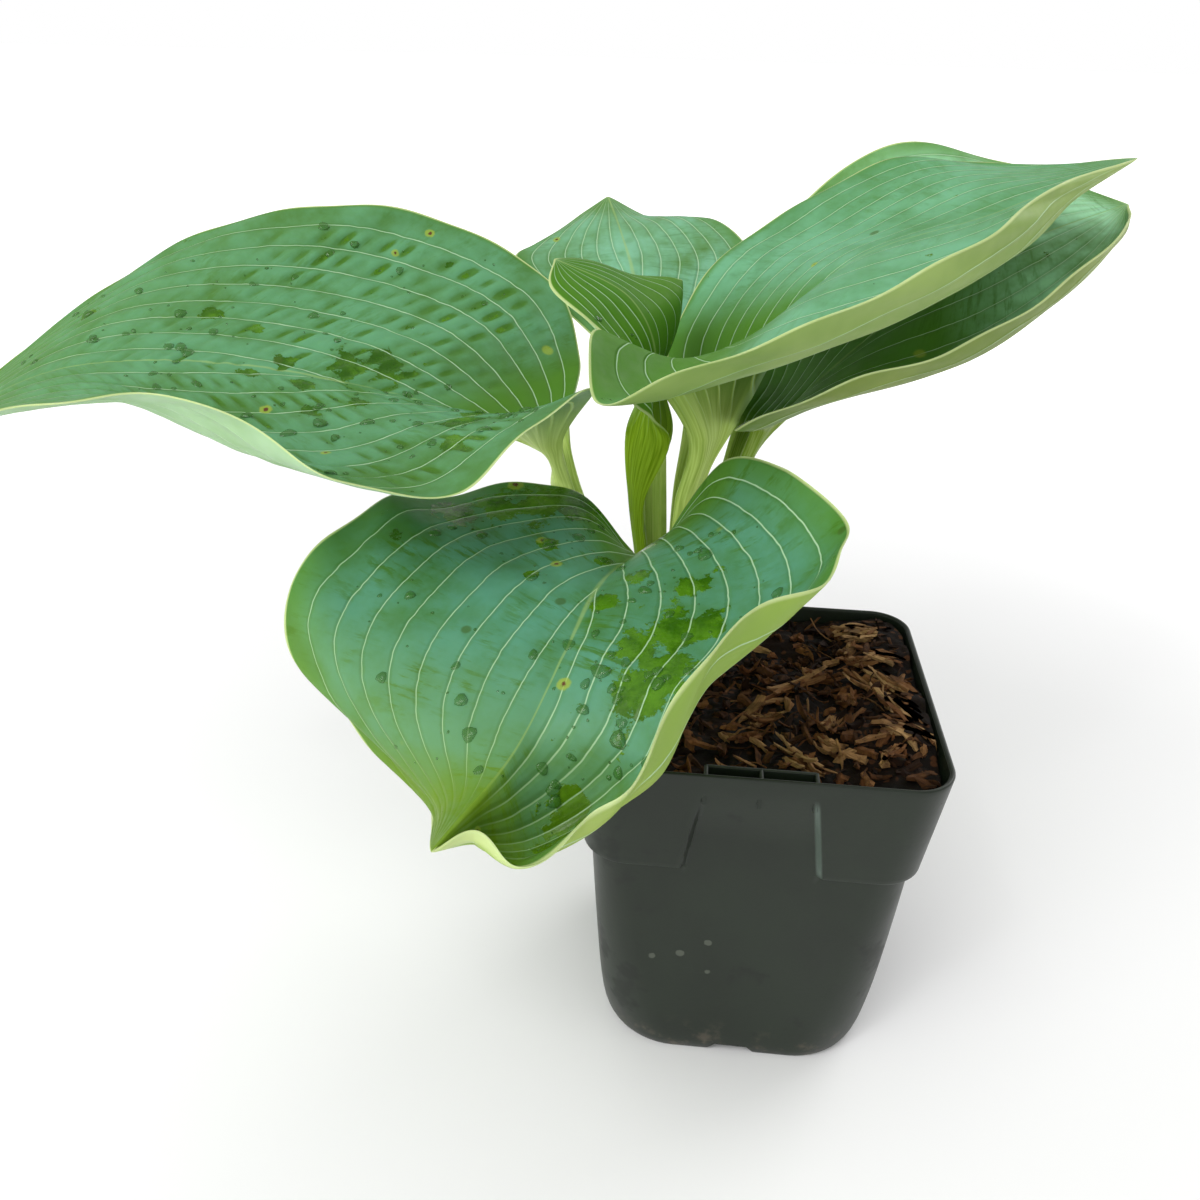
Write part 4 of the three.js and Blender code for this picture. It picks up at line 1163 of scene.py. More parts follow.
def pot_material(colours, marks):
    """Moulded plastic: a dark body with broad mottling, fine grain, faint smudges, a dusting of
    soil low on the wall, specks of it all over, a few splashes, and a painted highlight: a pale
    line on the right edge of the label recess, where that edge catches the light."""
    material, wires, shader = new_material("pot_plastic")
    place = wires.place()
    broad = wires.noise(place, 28.0, 4.0, 0.6)
    fine = wires.noise(place, 700.0, 3.0)
    colour = wires.mix(wires.remap(broad, 0.35, 0.68), colours["dark"], colours["light"])
    smudge = wires.group(blotch_group(), Vector=place, Scale=40.0, Low=0.6, High=0.68).outputs["Mask"]
    colour = wires.mix(wires.times(smudge, 0.7), colour, colours["smudge"])
    axes = wires.add("ShaderNodeSeparateXYZ", inputs={"Vector": place}).outputs
    low = wires.remap(axes["Z"], 0.0, 0.02, 0.5, 0.0)
    dust = wires.group(blotch_group(), Vector=place, Scale=180.0, Low=0.5, High=0.75).outputs["Mask"]
    colour = wires.mix(wires.times(dust, low), colour, colours["dust"])
    specks = wires.group(speck_group(), Vector=place, Scale=110.0, Share=0.03, Size=0.1).outputs["Mask"]
    colour = wires.mix(wires.times(specks, 0.5), colour, colours["dust"])
    for centre, radius in marks:
        mark = wires.group(spot_group(), Vector=place, Centre=Vector(centre), Radius=radius * MM)
        ring = wires.times(mark.outputs["Ring"], 0.4)
        colour = wires.mix(ring, colour, colours["splash"])
    # Painted highlight: a pale line along the right slanted edge of the label recess stands in for the light
    # that this edge catches.
    drift = (RECESS["head"] - RECESS["foot"]) / 2 / (POT_TOP - BAND_FOOT)
    edge = wires.math("MULTIPLY_ADD", axes["Z"], drift, (RECESS["foot"] / 2 - drift * BAND_FOOT) * MM)
    away = wires.math("ABSOLUTE", wires.math("SUBTRACT", axes["X"], edge))
    painted_edge_highlight = wires.remap(away, 0.3 * MM, 1.2 * MM, 0.7, 0.0)
    for axis, low, high in (("Z", BAND_FOOT - 1, BAND_FOOT + 3), ("Y", -49.5, -50.5)):
        painted_edge_highlight = wires.times(painted_edge_highlight, wires.remap(axes[axis], low * MM, high * MM))
    painted_edge_highlight = wires.times(painted_edge_highlight, wires.remap(axes["Z"], 114 * MM, 119 * MM, 1.0, 0.0))
    colour = wires.mix(painted_edge_highlight, colour, colours["painted_edge_highlight"])
    wires.feed(shader.inputs["Base Color"], colour)
    rough = wires.math("MULTIPLY_ADD", smudge, 0.1, wires.remap(broad, 0.3, 0.7, 0.36, 0.48))
    shader.inputs["Specular IOR Level"].default_value = 0.35
    wires.feed(shader.inputs["Roughness"], rough)
    wires.feed(shader.inputs["Normal"], wires.bump(fine, 0.18, 0.15 * MM))
    return material


# Pale splashes on the pot's front in millimetres: across and up
SPLASHES = [(-28.8, 45.6, 1.3), (-19.7, 48.0, 1.5), (-10.9, 53.8, 1.3), (-10.3, 40.3, 1.2)]


def make_pot(settings):
    """The pot shell with its label recess and pocket, notches and drain holes."""
    section = pot_profile(settings)
    rings = press_recess(rounded_square(section), section)
    around = rings.shape[1]
    floor = settings.floor / MM
    corners = np.concatenate([rings.reshape(-1, 3), [[0, 0, 0], [0, 0, floor]]]) * MM
    marks = [((x * MM, -49.0 * MM, z * MM), radius) for x, z, radius in SPLASHES]
    names = ("dark", "light", "smudge", "dust", "splash", "painted_edge_highlight")
    material = pot_material(chosen_colours(settings, names), marks)
    pot = new_piece("pot_shell", corners, shell_faces(len(section), around), material)
    wall = settings.wall / MM
    carve(pot, [
        ("UNION", notch_cutter(wall, 0.9, 43.0)),
        ("DIFFERENCE", notch_cutter(0, -0.5, 60.0)),
        ("DIFFERENCE", drain_cutter(settings)),
    ])
    pot.data.polygons.foreach_set("use_smooth", np.ones(len(pot.data.polygons), bool))
    pot.data.set_sharp_from_angle(angle=math.radians(35))
    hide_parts("pot")

    make_pocket(material)
    return pot


def make_pocket(material):
    """The pocket behind the rim that a label slides into: a back plate, two ends and a rib, each a
    rounded bar that reaches from its low edge to the rim."""
    high = POT_TOP - 0.4
    middle, tall = (POCKET["low"] + high) / 2, high - POCKET["low"]
    back = POCKET["wall"] / 2 - POCKET["back"]
    front = 1.0 - BAND_WIDTHS[1] / 2
    end = POCKET["half"] + POCKET["wall"] / 2
    bars = [rounded_bar((-end, back, middle), (end, back, middle), (POCKET["wall"], tall), 0.5, (0, 1, 0))]
    for x, thick in ((-end, POCKET["wall"]), (0, POCKET["rib"]), (end, POCKET["wall"])):
        bars.append(rounded_bar((x, front, middle), (x, back, middle), (thick, tall), 0.5, (1, 0, 0)))
    stations, sides = bars[0].shape[:2]
    one = stations * sides
    faces = []
    for start in range(0, one * len(bars), one):
        faces += (ring_quads(stations, sides) + start).tolist()
        faces.append([start + k for k in reversed(range(sides))])
        faces.append([start + one - sides + k for k in range(sides)])
    points = np.concatenate([bar.reshape(-1, 3) for bar in bars]) * MM
    pocket = new_piece("pot_label_pocket", points, faces, material)
    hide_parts("pot")


def bed_height(x, y):
    """Height of the bark bed in millimetres: the CAD mulch's gentle swell, lumps and crumbs of two
    sizes each, and a heap toward the right wall and the back."""
    swell = 0.84 * np.sin(x * 0.09 + 0.6) * np.cos(y * 0.08 - 0.4)
    lumps = 1.5 * value_noise(x + 200, y + 200, 15, 31) + 1.0 * value_noise(x + 200, y + 200, 6.5, 32)
    crumbs = 0.7 * value_noise(x + 200, y + 200, 2.6, 33) + 0.35 * value_noise(x + 200, y + 200, 1.3, 34)
    heap = 6.5 * np.exp(-((x - 55) / 19)**2 - ((y - 4) / 60)**2) + 3.5 * ease(y, 22, 52)
    return 117.0 + swell + lumps + crumbs + np.minimum(heap, 5.8)


def front_limit(x):
    """How far the fill reaches to the front: less behind the label pocket."""
    return -49.0 - 5.2 * ease(np.abs(x), 18.0, 23.0)


# Rings and corners of the bed, and the height of its underside in millimetres
BED_RINGS = 120
BED_SIDES = 300
BED_FOOT = 111.6
# Bed in millimetres: half its width, its corners, how square it is, and how far its skirt draws in
BED = {"half": 54.3, "corner": 12.2, "power": 9.0, "skirt": 0.965}
# How far out, how low and how high a chip may reach
CHIP_LIMITS = {"out": 54.0, "low": 112.5, "high": 124.2}


def make_bed(settings):
    """Crumbly top of the fill: rings of a rounded square that grow from the middle to the pot's
    wall, lifted to the bed's height, with a plain skirt and underside."""
    share = np.linspace(0, 1, BED_RINGS + 1)[1:]
    angle = np.arange(BED_SIDES) / BED_SIDES * 2 * np.pi
    half, corner, power = BED["half"], BED["corner"], BED["power"]
    outline = 1 / (np.abs(np.cos(angle))**power + np.abs(np.sin(angle))**power)**(1 / power)
    reach = half * np.minimum(outline, (half * 2**0.5 - corner * (2**0.5 - 1)) / half)
    x = share[:, None] * reach * np.cos(angle)
    y = np.maximum(share[:, None] * reach * np.sin(angle), front_limit(x))
    z = bed_height(x, y)
    top = np.stack([x, y, z], axis=-1)
    foot = top[-1:].copy()
    foot[..., 0:2] *= BED["skirt"]
    foot[..., 2] = BED_FOOT
    rings = np.concatenate([foot, top[::-1]])
    middle = bed_height(np.zeros(1), np.zeros(1))[0]
    corners = np.concatenate([rings.reshape(-1, 3), [[0, 0, BED_FOOT], [0, 0, middle]]]) * MM
    faces = shell_faces(len(rings), BED_SIDES)
    bed = new_piece("bark_bed", corners, faces, soil_material(settings), math.radians(80))
    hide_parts("bark_mulch")
    return bed


def soil_material(settings):
    """Dark potting mix with brown crumbs, fine grit and damp places."""
    material, wires, shader = new_material("potting_mix")
    place = wires.place()
    broad = wires.noise(place, 90.0, 4.0, 0.65)
    colour = wires.mix(wires.remap(broad, 0.35, 0.7), tuple(settings.mix_dark), tuple(settings.mix_brown))
    crumbs = wires.group(speck_group(), Vector=place, Scale=380.0, Share=0.35, Size=0.55).outputs["Mask"]
    colour = wires.mix(wires.times(crumbs, 0.7), colour, tuple(settings.crumb))
    wires.feed(shader.inputs["Base Color"], colour)
    wires.feed(shader.inputs["Roughness"], wires.remap(broad, 0.3, 0.7, 0.7, 0.95))
    shader.inputs["Specular IOR Level"].default_value = 0.15
    grit = wires.noise(place, 900.0, 5.0, 0.7)
    wires.feed(shader.inputs["Normal"], wires.bump(grit, 0.8, 0.6 * MM))
    return material


def bark_material(settings):
    """Shredded bark: each chip has its own shade from dark to pale, a random tone that on the
    strewn chips also holds painted shade on those lying low, with dark fibres along it and stains of the mix."""
    material, wires, shader = new_material("bark")
    place = wires.place()
    surface = wires.add("ShaderNodeUVMap", {"uv_map": "SurfaceMap"})
    stretched = wires.add("ShaderNodeMapping", inputs={
        "Vector": surface.outputs["UV"], "Scale": (1.2, 9.0, 1.0),
    }).outputs["Vector"]
    shade = wires.attribute("shade")
    fibre = wires.noise(stretched, 2.2, 4.0, 0.6)
    colour = wires.mix(wires.remap(shade, 0.1, 0.6), tuple(settings.bark_dark), tuple(settings.bark))
    colour = wires.mix(wires.remap(shade, 0.6, 1.0), colour, tuple(settings.bark_pale))
    colour = wires.mix(wires.remap(fibre, 0.42, 0.7, 0.0, 0.55), colour, tuple(settings.bark_dark))
    stain = wires.group(blotch_group(), Vector=place, Scale=160.0, Low=0.5, High=0.65).outputs["Mask"]
    colour = wires.mix(wires.times(stain, 0.5), colour, tuple(settings.mix_dark))
    wires.feed(shader.inputs["Base Color"], colour)
    wires.feed(shader.inputs["Roughness"], wires.remap(fibre, 0.3, 0.7, 0.75, 0.95))
    shader.inputs["Specular IOR Level"].default_value = 0.2
    wires.feed(shader.inputs["Normal"], wires.bump(fibre, 1.0, 0.7 * MM))
    return material


# Rings along a chip and corners round it
CHIP_STATIONS = 6
CHIP_SIDES = 5


def strewn_chips(count, length, width, thickness, tilt, lift, random):
    """Centres, headings and sizes of chips strewn over the bed, in millimetres; those that lie
    higher are paler, and the darkening of the lower ones is painted shade."""
    size = random.uniform(*length, count)
    reach = 53.0 - size * 0.28
    x = random.uniform(-1, 1, count) * reach
    y = random.uniform(-1, 1, count) * reach
    return {
        "x": x, "y": y, "lift": np.linspace(*lift, count), "length": size,
        "width": random.uniform(*width, count), "thickness": random.uniform(*thickness, count),
        "heading": random.uniform(0, 2 * np.pi, count), "tilt": random.normal(0, tilt, count),
        "roll": random.normal(0, 0.9, count), "bend": random.normal(0, 0.2, count),
        # Painted shade: chips come in order of lift, so the lower ones get darker on top of their random
        # tone.
        "shade": random.uniform(0.15, 1, count) * np.linspace(0.2, 1, count),
    }


# Large chips at their places in the photograph, in millimetres and degrees: middle of the chip
# across and back, length, width, heading, bend and shade
LARGE_CHIPS = [
    (11, 1, 33, 3.4, 52, 0.02, 0.75),
    (38, 41, 15, 9.0, 10, 0.1, 0.95),
    (42, 8, 22, 10.0, -60, 0.12, 0.95),
    (48, -8, 20, 9.0, -75, 0.1, 0.9),
    (47, -24, 20, 8.0, -50, -0.15, 0.95),
    (39, -37, 14, 3.0, 60, 0.5, 0.8),
    (13, -38, 20, 6.0, -60, 0.1, 0.9),
    (22, -30, 11, 5.0, -50, 0.2, 0.85),
    (34, 21, 15, 2.6, 5, 0.3, 0.7),
    (24, -18, 9, 5.5, 80, 0.15, 0.75),
    (3, -17, 13, 4.5, 20, 0.25, 0.8),
    (30, -2, 10, 4.0, 85, 0.1, 0.75),
    (33, 30, 10, 4.5, 60, 0.2, 0.8),
    (-2, -28, 12, 3.6, 35, 0.2, 0.65),
    (24, 12, 12, 3.6, -20, 0.2, 0.7),
    (44, 24, 12, 6.0, -30, 0.1, 0.85),
]


def large_chips(random):
    """The large chips as bundles of slivers, which lie side by side over the chip's width, each a
    little turned and shorter than the chip."""
    table = np.array(LARGE_CHIPS, float)
    table = np.repeat(table, np.round(3 + 1.1 * table[:, 3]).astype(int), axis=0)
    x, y, length, width, heading, bend, shade = table.T
    count = len(x)
    heading = np.radians(heading)
    ahead = random.uniform(-0.25, 0.25, count) * length
    aside = random.uniform(-0.5, 0.5, count) * width
    return {
        "x": x + ahead * np.cos(heading) - aside * np.sin(heading),
        "y": y + ahead * np.sin(heading) + aside * np.cos(heading),
        "lift": random.uniform(0.8, 2.6, count), "length": length * random.uniform(0.35, 0.9, count),
        "width": random.uniform(1.0, 2.8, count), "thickness": random.uniform(0.8, 1.8, count),
        "heading": heading + random.normal(0, 0.22, count), "tilt": random.normal(0, 0.1, count),
        "roll": random.normal(0, 0.6, count), "bend": bend + random.normal(0, 0.08, count),
        "shade": shade * random.uniform(0.65, 1.15, count),
    }


def chip_points(chips, random):
    """Bent, tapered and twisted slivers: a lens outline carried along an arc. The width swells as
    sin(pi (0.1 + 0.8 t))^0.3 with random nicks and taper, and the arc lifts the ends by bend times
    length."""
    count = len(chips["x"])
    t = np.linspace(0, 1, CHIP_STATIONS)[None, :, None]
    angle = (np.arange(CHIP_SIDES) / CHIP_SIDES * 2 * np.pi)[None, None, :]

    def each(name):
        return chips[name][:, None, None]

    nick = 1 + 0.35 * random.uniform(-1, 1, (count, CHIP_STATIONS, CHIP_SIDES))
    taper = 1 + random.uniform(-0.6, 0.6, (count, 1, 1)) * (t - 0.5)
    swell = np.sin(np.pi * (0.1 + 0.8 * t))**0.3 * nick * taper
    across = each("width") / 2 * swell * np.cos(angle)
    above = each("thickness") / 2 * swell * np.sin(angle)
    along = each("length") * (t - 0.5) + 0 * across + 0.8 * random.uniform(-1, 1, across.shape)
    lift = each("bend") * each("length") * (4 * (t - 0.5)**2) + 0 * across
    sway = 0.12 * each("length") * np.sin(3 * t + each("heading"))
    twist = each("roll") + 0.6 * (t - 0.5)
    local_y = across * np.cos(twist) - above * np.sin(twist) + sway
    local_z = across * np.sin(twist) + above * np.cos(twist) + lift + along * np.sin(each("tilt"))
    x = each("x") + along * np.cos(each("heading")) - local_y * np.sin(each("heading"))
    y = each("y") + along * np.sin(each("heading")) + local_y * np.cos(each("heading"))
    ground = bed_height(chips["x"], chips["y"])[:, None, None]
    z = ground + each("lift") + local_z
    limit = CHIP_LIMITS["out"]
    x = np.clip(x, -limit, limit)
    y = np.clip(y, front_limit(x) + 0.5, limit)
    return np.stack([x, y, np.clip(z, CHIP_LIMITS["low"], CHIP_LIMITS["high"])], axis=-1)


def make_chips(name, chips, random, material):
    """Chips fused into one piece, each closed at both ends."""
    points = chip_points(chips, random)
    count = len(points)
    one = CHIP_STATIONS * CHIP_SIDES
    quads = ring_quads(CHIP_STATIONS, CHIP_SIDES)
    numbers = (quads[None] + (np.arange(count) * one)[:, None, None]).reshape(-1, 4).tolist()
    first = np.arange(CHIP_SIDES)[::-1]
    last = one - CHIP_SIDES + np.arange(CHIP_SIDES)
    for ends in (first, last):
        numbers += (ends[None] + (np.arange(count) * one)[:, None]).tolist()
    shade = np.repeat(chips["shade"], one)
    way = np.tile(np.repeat(np.linspace(0, 1, CHIP_STATIONS), CHIP_SIDES), count)
    turn = np.tile(np.tile(np.abs(np.linspace(-1, 1, CHIP_SIDES)), CHIP_STATIONS), count)
    uv = np.stack([way + shade * 7, turn], axis=1)
    piece = new_piece(
        name, points.reshape(-1, 3) * MM, numbers, material, math.radians(22), {"shade": shade}, uv,
    )
    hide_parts("bark_mulch")
    return piece


def crown_material(settings):
    """Pale fleshy crown and roots, stained by the mix."""
    material, wires, shader = new_material("crown_tissue")
    place = wires.place()
    stain = wires.group(blotch_group(), Vector=place, Scale=120.0, Low=0.4, High=0.65).outputs["Mask"]
    colour = wires.mix(stain, tuple(settings.root_pale), tuple(settings.root_stain))
    wires.feed(shader.inputs["Base Color"], colour)
    shader.inputs["Roughness"].default_value = 0.6
    wires.feed(shader.inputs["Normal"], wires.bump(wires.noise(place, 300.0), 0.4, 0.3 * MM))
    return material


def dress_node(name, material):
    """A carried-over CAD node gets its material in every slot."""
    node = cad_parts[name]
    node.data.materials.clear()
    node.data.materials.append(material)


def floor_material(settings):
    """Plain pale studio floor, faintly uneven, that glows with distance as a lit backdrop does."""
    material, wires, shader = new_material("studio_floor")
    place = wires.place()
    tone = wires.noise(place, 3.0, 2.0)
    away = wires.add("ShaderNodeVectorMath", {"operation": "LENGTH"})
    wires.feed(away.inputs[0], place)
    shader.inputs["Emission Color"].default_value = (1.0, 1.0, 1.0, 1.0)
    wires.feed(shader.inputs["Emission Strength"], wires.remap(away.outputs["Value"], 0.25, 1.4, 0.0, 0.7))
    low = tuple(0.985 * c for c in settings.floor_colour)
    wires.feed(shader.inputs["Base Color"], wires.mix(tone, tuple(settings.floor_colour), low))
    shader.inputs["Roughness"].default_value = 0.9
    return material


# Camera of the photograph: place in millimetres, heading left of the +Y axis, look down and roll in
# degrees, and lens and picture width in millimetres
CAMERA = {
    "place": (-25.5, -320.0, 313.0), "heading": 4.95, "down": 26.8, "roll": 1.5,
    "lens": 33.0, "width": 36.0,
}
# Lamps: name, place and aim in metres, size, and share of the key light's power
LAMPS = (
    ("key", (-0.42, -0.72, 1.1), (-0.05, 0, 0.15), 0.7, 1.0),
    ("glint", (-0.42, -0.72, 1.1), (-0.05, 0, 0.15), 0.09, 0.1),
    ("side", (-0.9, -0.85, 0.45), (-0.1, 0, 0.18), 0.9, 0.8),
    ("back", (0.85, 0.8, 0.9), (0.02, 0, 0.2), 0.8, 0.8),
)
# Floor disc: radii of its rings in metres, and its corners
FLOOR_RINGS = (0.5, 4.0, 30.0)
FLOOR_SIDES = 96


def make_camera():
    """The camera turns up from looking straight down, swings to its heading and rolls."""
    data = bpy.data.cameras.new("camera")
    data.lens = CAMERA["lens"]
    data.sensor_width = CAMERA["width"]
    data.clip_start = 0.01
    camera = bpy.data.objects.new("camera", data)
    bpy.context.collection.objects.link(camera)
    turn = (
        Matrix.Rotation(math.radians(CAMERA["heading"]), 4, "Z")
        @ Matrix.Rotation(math.radians(90 - CAMERA["down"]), 4, "X")
        @ Matrix.Rotation(math.radians(CAMERA["roll"]), 4, "Z")
    )
    camera.matrix_world = Matrix.Translation(Vector(CAMERA["place"]) * MM) @ turn
    bpy.context.scene.camera = camera


def soft_light(name, place, aim, size, power):
    """Square area light at a place, turned to face the aim."""
    data = bpy.data.lights.new(name, "AREA")
    data.size = size
    data.energy = power
    light = bpy.data.objects.new(name, data)
    bpy.context.collection.objects.link(light)
    way = Vector(aim) - Vector(place)
    light.matrix_world = Matrix.Translation(place) @ way.to_track_quat("-Z", "Y").to_matrix().to_4x4()


def make_floor(settings):
    """Flat disc of the studio floor: rings of corners round a middle point."""
    angle = np.arange(FLOOR_SIDES) / FLOOR_SIDES * 2 * np.pi
    rings = np.array(FLOOR_RINGS)[:, None]
    x, y = rings * np.cos(angle), rings * np.sin(angle)
    points = np.stack([x, y, 0 * x], axis=-1)[::-1].reshape(-1, 3)
    points = np.concatenate([points, [[0, 0, 0]]])
    faces = ring_quads(len(FLOOR_RINGS), FLOOR_SIDES).tolist()
    last = (len(FLOOR_RINGS) - 1) * FLOOR_SIDES
    middle = len(FLOOR_RINGS) * FLOOR_SIDES
    faces += [[last + k, last + (k + 1) % FLOOR_SIDES, middle] for k in range(FLOOR_SIDES)]
    mesh = bpy.data.meshes.new("floor")
    mesh.from_pydata(points.tolist(), [], faces)
    mesh.materials.append(floor_material(settings))
    floor = bpy.data.objects.new("floor", mesh)
    bpy.context.collection.objects.link(floor)


def make_sky(settings):
    """Even white light from all round, which the camera itself sees at full strength."""
    sky = bpy.data.worlds.new("sky")
    sky.use_nodes = True
    wires = Wiring(sky.node_tree)
    seen = wires.add("ShaderNodeLightPath").outputs["Is Camera Ray"]
    light = sky.node_tree.nodes["Background"].inputs
    light["Color"].default_value = (1, 1, 1, 1)
    wires.feed(light["Strength"], wires.remap(seen, 0.0, 1.0, settings.sky, 1.0))
    bpy.context.scene.world = sky


def length_setting(name, description, default, least, most):
    """Length property, given in millimetres."""
    return FloatProperty(
        name=name, description=description, default=default * MM, min=least * MM, max=most * MM,
        unit="LENGTH",
    )


def colour_setting(name, description, code):
    """Colour property whose default is an sRGB hex code."""
    return FloatVectorProperty(
        name=name, description=description, default=linear(code), subtype="COLOR", size=3, min=0, max=1,
    )


class HostaLeafSettings(bpy.types.PropertyGroup):
    """Tissue and colours shared by all leaves."""
    stalk_tissue: length_setting("Stalk tissue", "Thickness of a stalk's wall", 2.2, 0.5, 6)
    blade_tissue: length_setting("Blade tissue", "Thickness of a blade", 0.8, 0.3, 3)
    midrib_ridge: length_setting("Midrib ridge", "How far the midrib stands out below", 1.3, 0.0, 4)
    vein_ridge: length_setting("Vein ridge", "How far the side veins stand out below", 0.3, 0.0, 1)
    bloom_dust: colour_setting("Wax", "Pale wax on the surface", "#86b28e")
    fresh: colour_setting("Fresh green", "Leaf where its wax is thin", "#4c7d1c")
    bare: colour_setting("Bare green", "Leaf without its wax", "#4c7c14")
    bare_dark: colour_setting("Deep green", "Darker parts of the bare leaf", "#2f5c08")
    vein: colour_setting("Veins", "Side veins", "#b0d0aa")
    midrib: colour_setting("Midrib", "Midrib and the foot of the stalks", "#98b46c")
    margin: colour_setting("Margin", "Thin pale edge", "#bccb8c")
    tip: colour_setting("Tip", "Yellowish green toward the tip", "#5f7f08")
    speck: colour_setting("Specks", "Small dark specks", "#3f5d1c")
    halo: colour_setting("Halo", "Yellow ring round a blemish", "#8fa43a")
    scar: colour_setting("Scar", "Brown middle of a blemish", "#5c3a24")


class HostaDropSettings(bpy.types.PropertyGroup):
    """Sizes of the water drops."""
    smallest: length_setting("Smallest drop", "Radius of the smallest drops", 0.35, 0.1, 3)
    largest: length_setting("Largest drop", "Radius of the largest drops", 2.1, 0.2, 6)
    seed: IntProperty(name="Seed", description="Start of the random places", default=5, min=0)


class HostaPotSettings(bpy.types.PropertyGroup):
    """Walls and colours of the pot."""
    wall: length_setting("Wall", "Thickness of the pot's wall", 1.4, 0.5, 4)
    floor: length_setting("Floor", "Thickness of the pot's floor", 1.8, 0.5, 5)
    drain_radius: length_setting("Drain holes", "Radius of the drain holes", 4.0, 1, 8)
    dark: colour_setting("Plastic", "Main colour of the plastic", "#171f15")
    light: colour_setting("Plastic, lighter", "Lighter mottling", "#1d261b")
    smudge: colour_setting("Smudges", "Dark smudges", "#181d17")
    dust: colour_setting("Dust", "Dried soil at the foot", "#6f6455")
    splash: colour_setting("Splashes", "Dried splashes", "#6c7265")
    # Colour of the painted highlight along the right edge of the label recess.
    painted_edge_highlight: colour_setting("Worn edge", "Polished edge of the label recess", "#5d6b62")


class HostaBedSettings(bpy.types.PropertyGroup):
    """Bark, potting mix and roots."""
    chips: IntProperty(name="Chips", description="Bark chips strewn over the bed",
                       default=460, min=0, max=2000)
    fibres: IntProperty(name="Fibres", description="Thin fibres among the chips",
                        default=160, min=0, max=1000)
    seed: IntProperty(name="Seed", description="Start of the random places", default=12, min=0)
    mix_dark: colour_setting("Mix", "Damp potting mix", "#0b0704")
    mix_brown: colour_setting("Mix, brown", "Drier potting mix", "#1c1009")
    crumb: colour_setting("Crumbs", "Crumbs of bark in the mix", "#50301a")
    bark_dark: colour_setting("Bark, dark", "Dark bark", "#211007")
    bark: colour_setting("Bark", "Main colour of the bark", "#85562f")
    bark_pale: colour_setting("Bark, pale", "Torn pale bark", "#c49a68")
    root_pale: colour_setting("Roots", "Fleshy roots", "#b9ae86")
    root_stain: colour_setting("Root stain", "Mix on the roots", "#5a4630")


class HostaStageSettings(bpy.types.PropertyGroup):
    """Floor and light."""
    floor_colour: FloatVectorProperty(name="Floor", description="Pale studio floor",
                                      default=(0.92, 0.92, 0.92), subtype="COLOR", size=3, min=0, max=1)
    sky: FloatProperty(name="Sky", description="Strength of the even light", default=0.66, min=0, max=4)
    key: FloatProperty(name="Key light", description="Power of the main lamp",
                       default=6.8, min=0, max=200, subtype="POWER")


class HOSTA_OT_pot(bpy.types.Operator):
    """Make the nursery pot"""
    bl_idname = "hosta.pot"
    bl_label = "Pot"

    def execute(self, context):
        make_pot(context.scene.hosta_pot)
        return {"FINISHED"}


class HOSTA_OT_bed(bpy.types.Operator):
    """Make the bed of potting mix and bark, and finish the mix and crown below it"""
    bl_idname = "hosta.bed"
    bl_label = "Bark bed"

    def execute(self, context):
        settings = context.scene.hosta_bed
        random = np.random.default_rng(settings.seed)
        make_bed(settings)
        bark = bark_material(settings)
        chips = strewn_chips(settings.chips, (3, 10), (1.2, 3.8), (0.9, 2.2), 0.4, (-0.6, 2.0), random)
        make_chips("bark_chips", chips, random, bark)
        fibres = strewn_chips(settings.fibres, (5, 20), (0.4, 0.9), (0.3, 0.6), 0.25, (0.4, 2.2), random)
        make_chips("bark_fibres", fibres, random, bark)
        make_chips("bark_large", large_chips(random), random, bark)
        dress_node("potting_soil", soil_material(settings))
        dress_node("crown", crown_material(settings))
        return {"FINISHED"}


class HOSTA_OT_leaves(bpy.types.Operator):
    """Make the six leaves with their stalks"""
    bl_idname = "hosta.leaves"
    bl_label = "Leaves"

    def execute(self, context):
        for number, name in enumerate(LEAVES):
            make_leaf(name, number, context.scene.hosta_leaf)
        return {"FINISHED"}


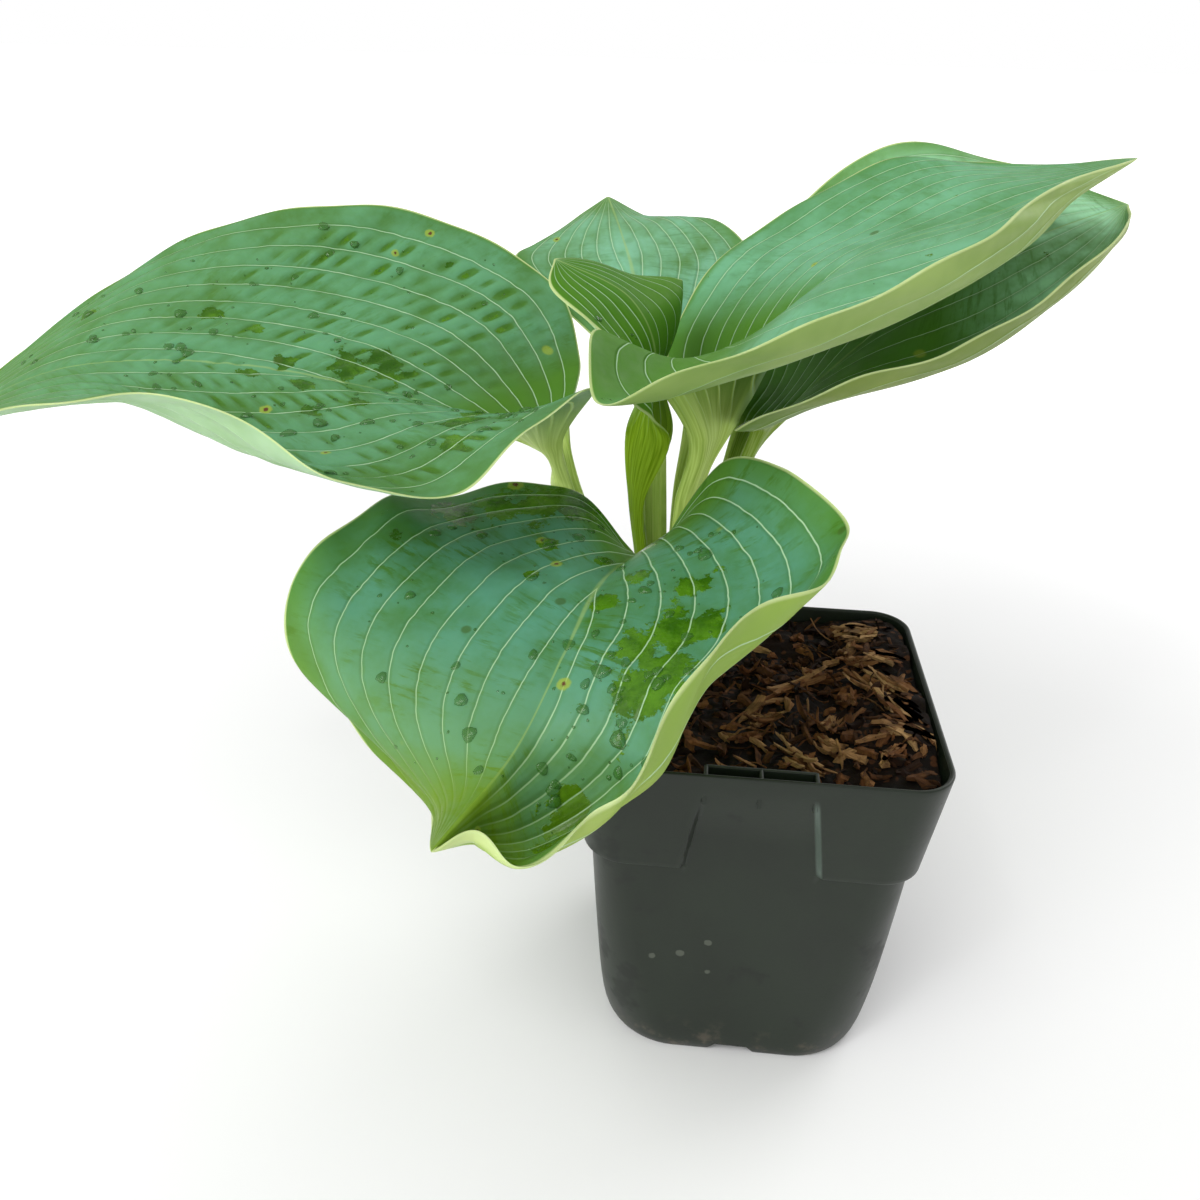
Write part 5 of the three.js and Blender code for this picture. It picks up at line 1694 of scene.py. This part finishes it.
class HOSTA_OT_drops(bpy.types.Operator):
    """Lay water drops on the leaves; needs the leaves"""
    bl_idname = "hosta.drops"
    bl_label = "Water drops"

    def execute(self, context):
        settings = context.scene.hosta_drop
        random = np.random.default_rng(settings.seed)
        water = water_material()
        for name in dict.fromkeys(field[0] for field in DROP_FIELDS):
            make_drops(name, settings, random, water)
        return {"FINISHED"}


class HOSTA_OT_stage(bpy.types.Operator):
    """Set up the floor, the lights and the camera"""
    bl_idname = "hosta.stage"
    bl_label = "Stage"

    def execute(self, context):
        settings = context.scene.hosta_stage
        make_floor(settings)
        for name, place, aim, size, share in LAMPS:
            soft_light(name, place, aim, size, settings.key * share)
        make_sky(settings)
        context.scene.view_settings.view_transform = "Standard"
        make_camera()
        return {"FINISHED"}


class HOSTA_PT_panel(bpy.types.Panel):
    """Pieces of the potted hosta and their sizes and colours"""
    bl_idname = "HOSTA_PT_panel"
    bl_label = "Potted hosta"
    bl_space_type = "VIEW_3D"
    bl_region_type = "UI"
    bl_category = "Hosta"

    def draw(self, context):
        layout = self.layout
        for operator, group in STEPS:
            box = layout.box()
            box.operator(operator)
            if group:
                settings = getattr(context.scene, group)
                for name in settings.__annotations__:
                    box.prop(settings, name)


STEPS = (
    ("hosta.pot", "hosta_pot"),
    ("hosta.bed", "hosta_bed"),
    ("hosta.leaves", "hosta_leaf"),
    ("hosta.drops", "hosta_drop"),
    ("hosta.stage", "hosta_stage"),
)
SETTINGS = {
    "hosta_pot": HostaPotSettings,
    "hosta_bed": HostaBedSettings,
    "hosta_leaf": HostaLeafSettings,
    "hosta_drop": HostaDropSettings,
    "hosta_stage": HostaStageSettings,
}
CLASSES = (
    *SETTINGS.values(), HOSTA_OT_pot, HOSTA_OT_bed, HOSTA_OT_leaves, HOSTA_OT_drops, HOSTA_OT_stage,
    HOSTA_PT_panel,
)


def register():
    for kind in CLASSES:
        bpy.utils.register_class(kind)
    for name, kind in SETTINGS.items():
        setattr(bpy.types.Scene, name, PointerProperty(type=kind))


def unregister():
    for name in SETTINGS:
        delattr(bpy.types.Scene, name)
    for kind in reversed(CLASSES):
        bpy.utils.unregister_class(kind)


def main():
    register()
    bpy.ops.hosta.pot()
    bpy.ops.hosta.bed()
    bpy.ops.hosta.leaves()
    bpy.ops.hosta.drops()
    bpy.ops.hosta.stage()


if __name__ == "__main__":
    main()
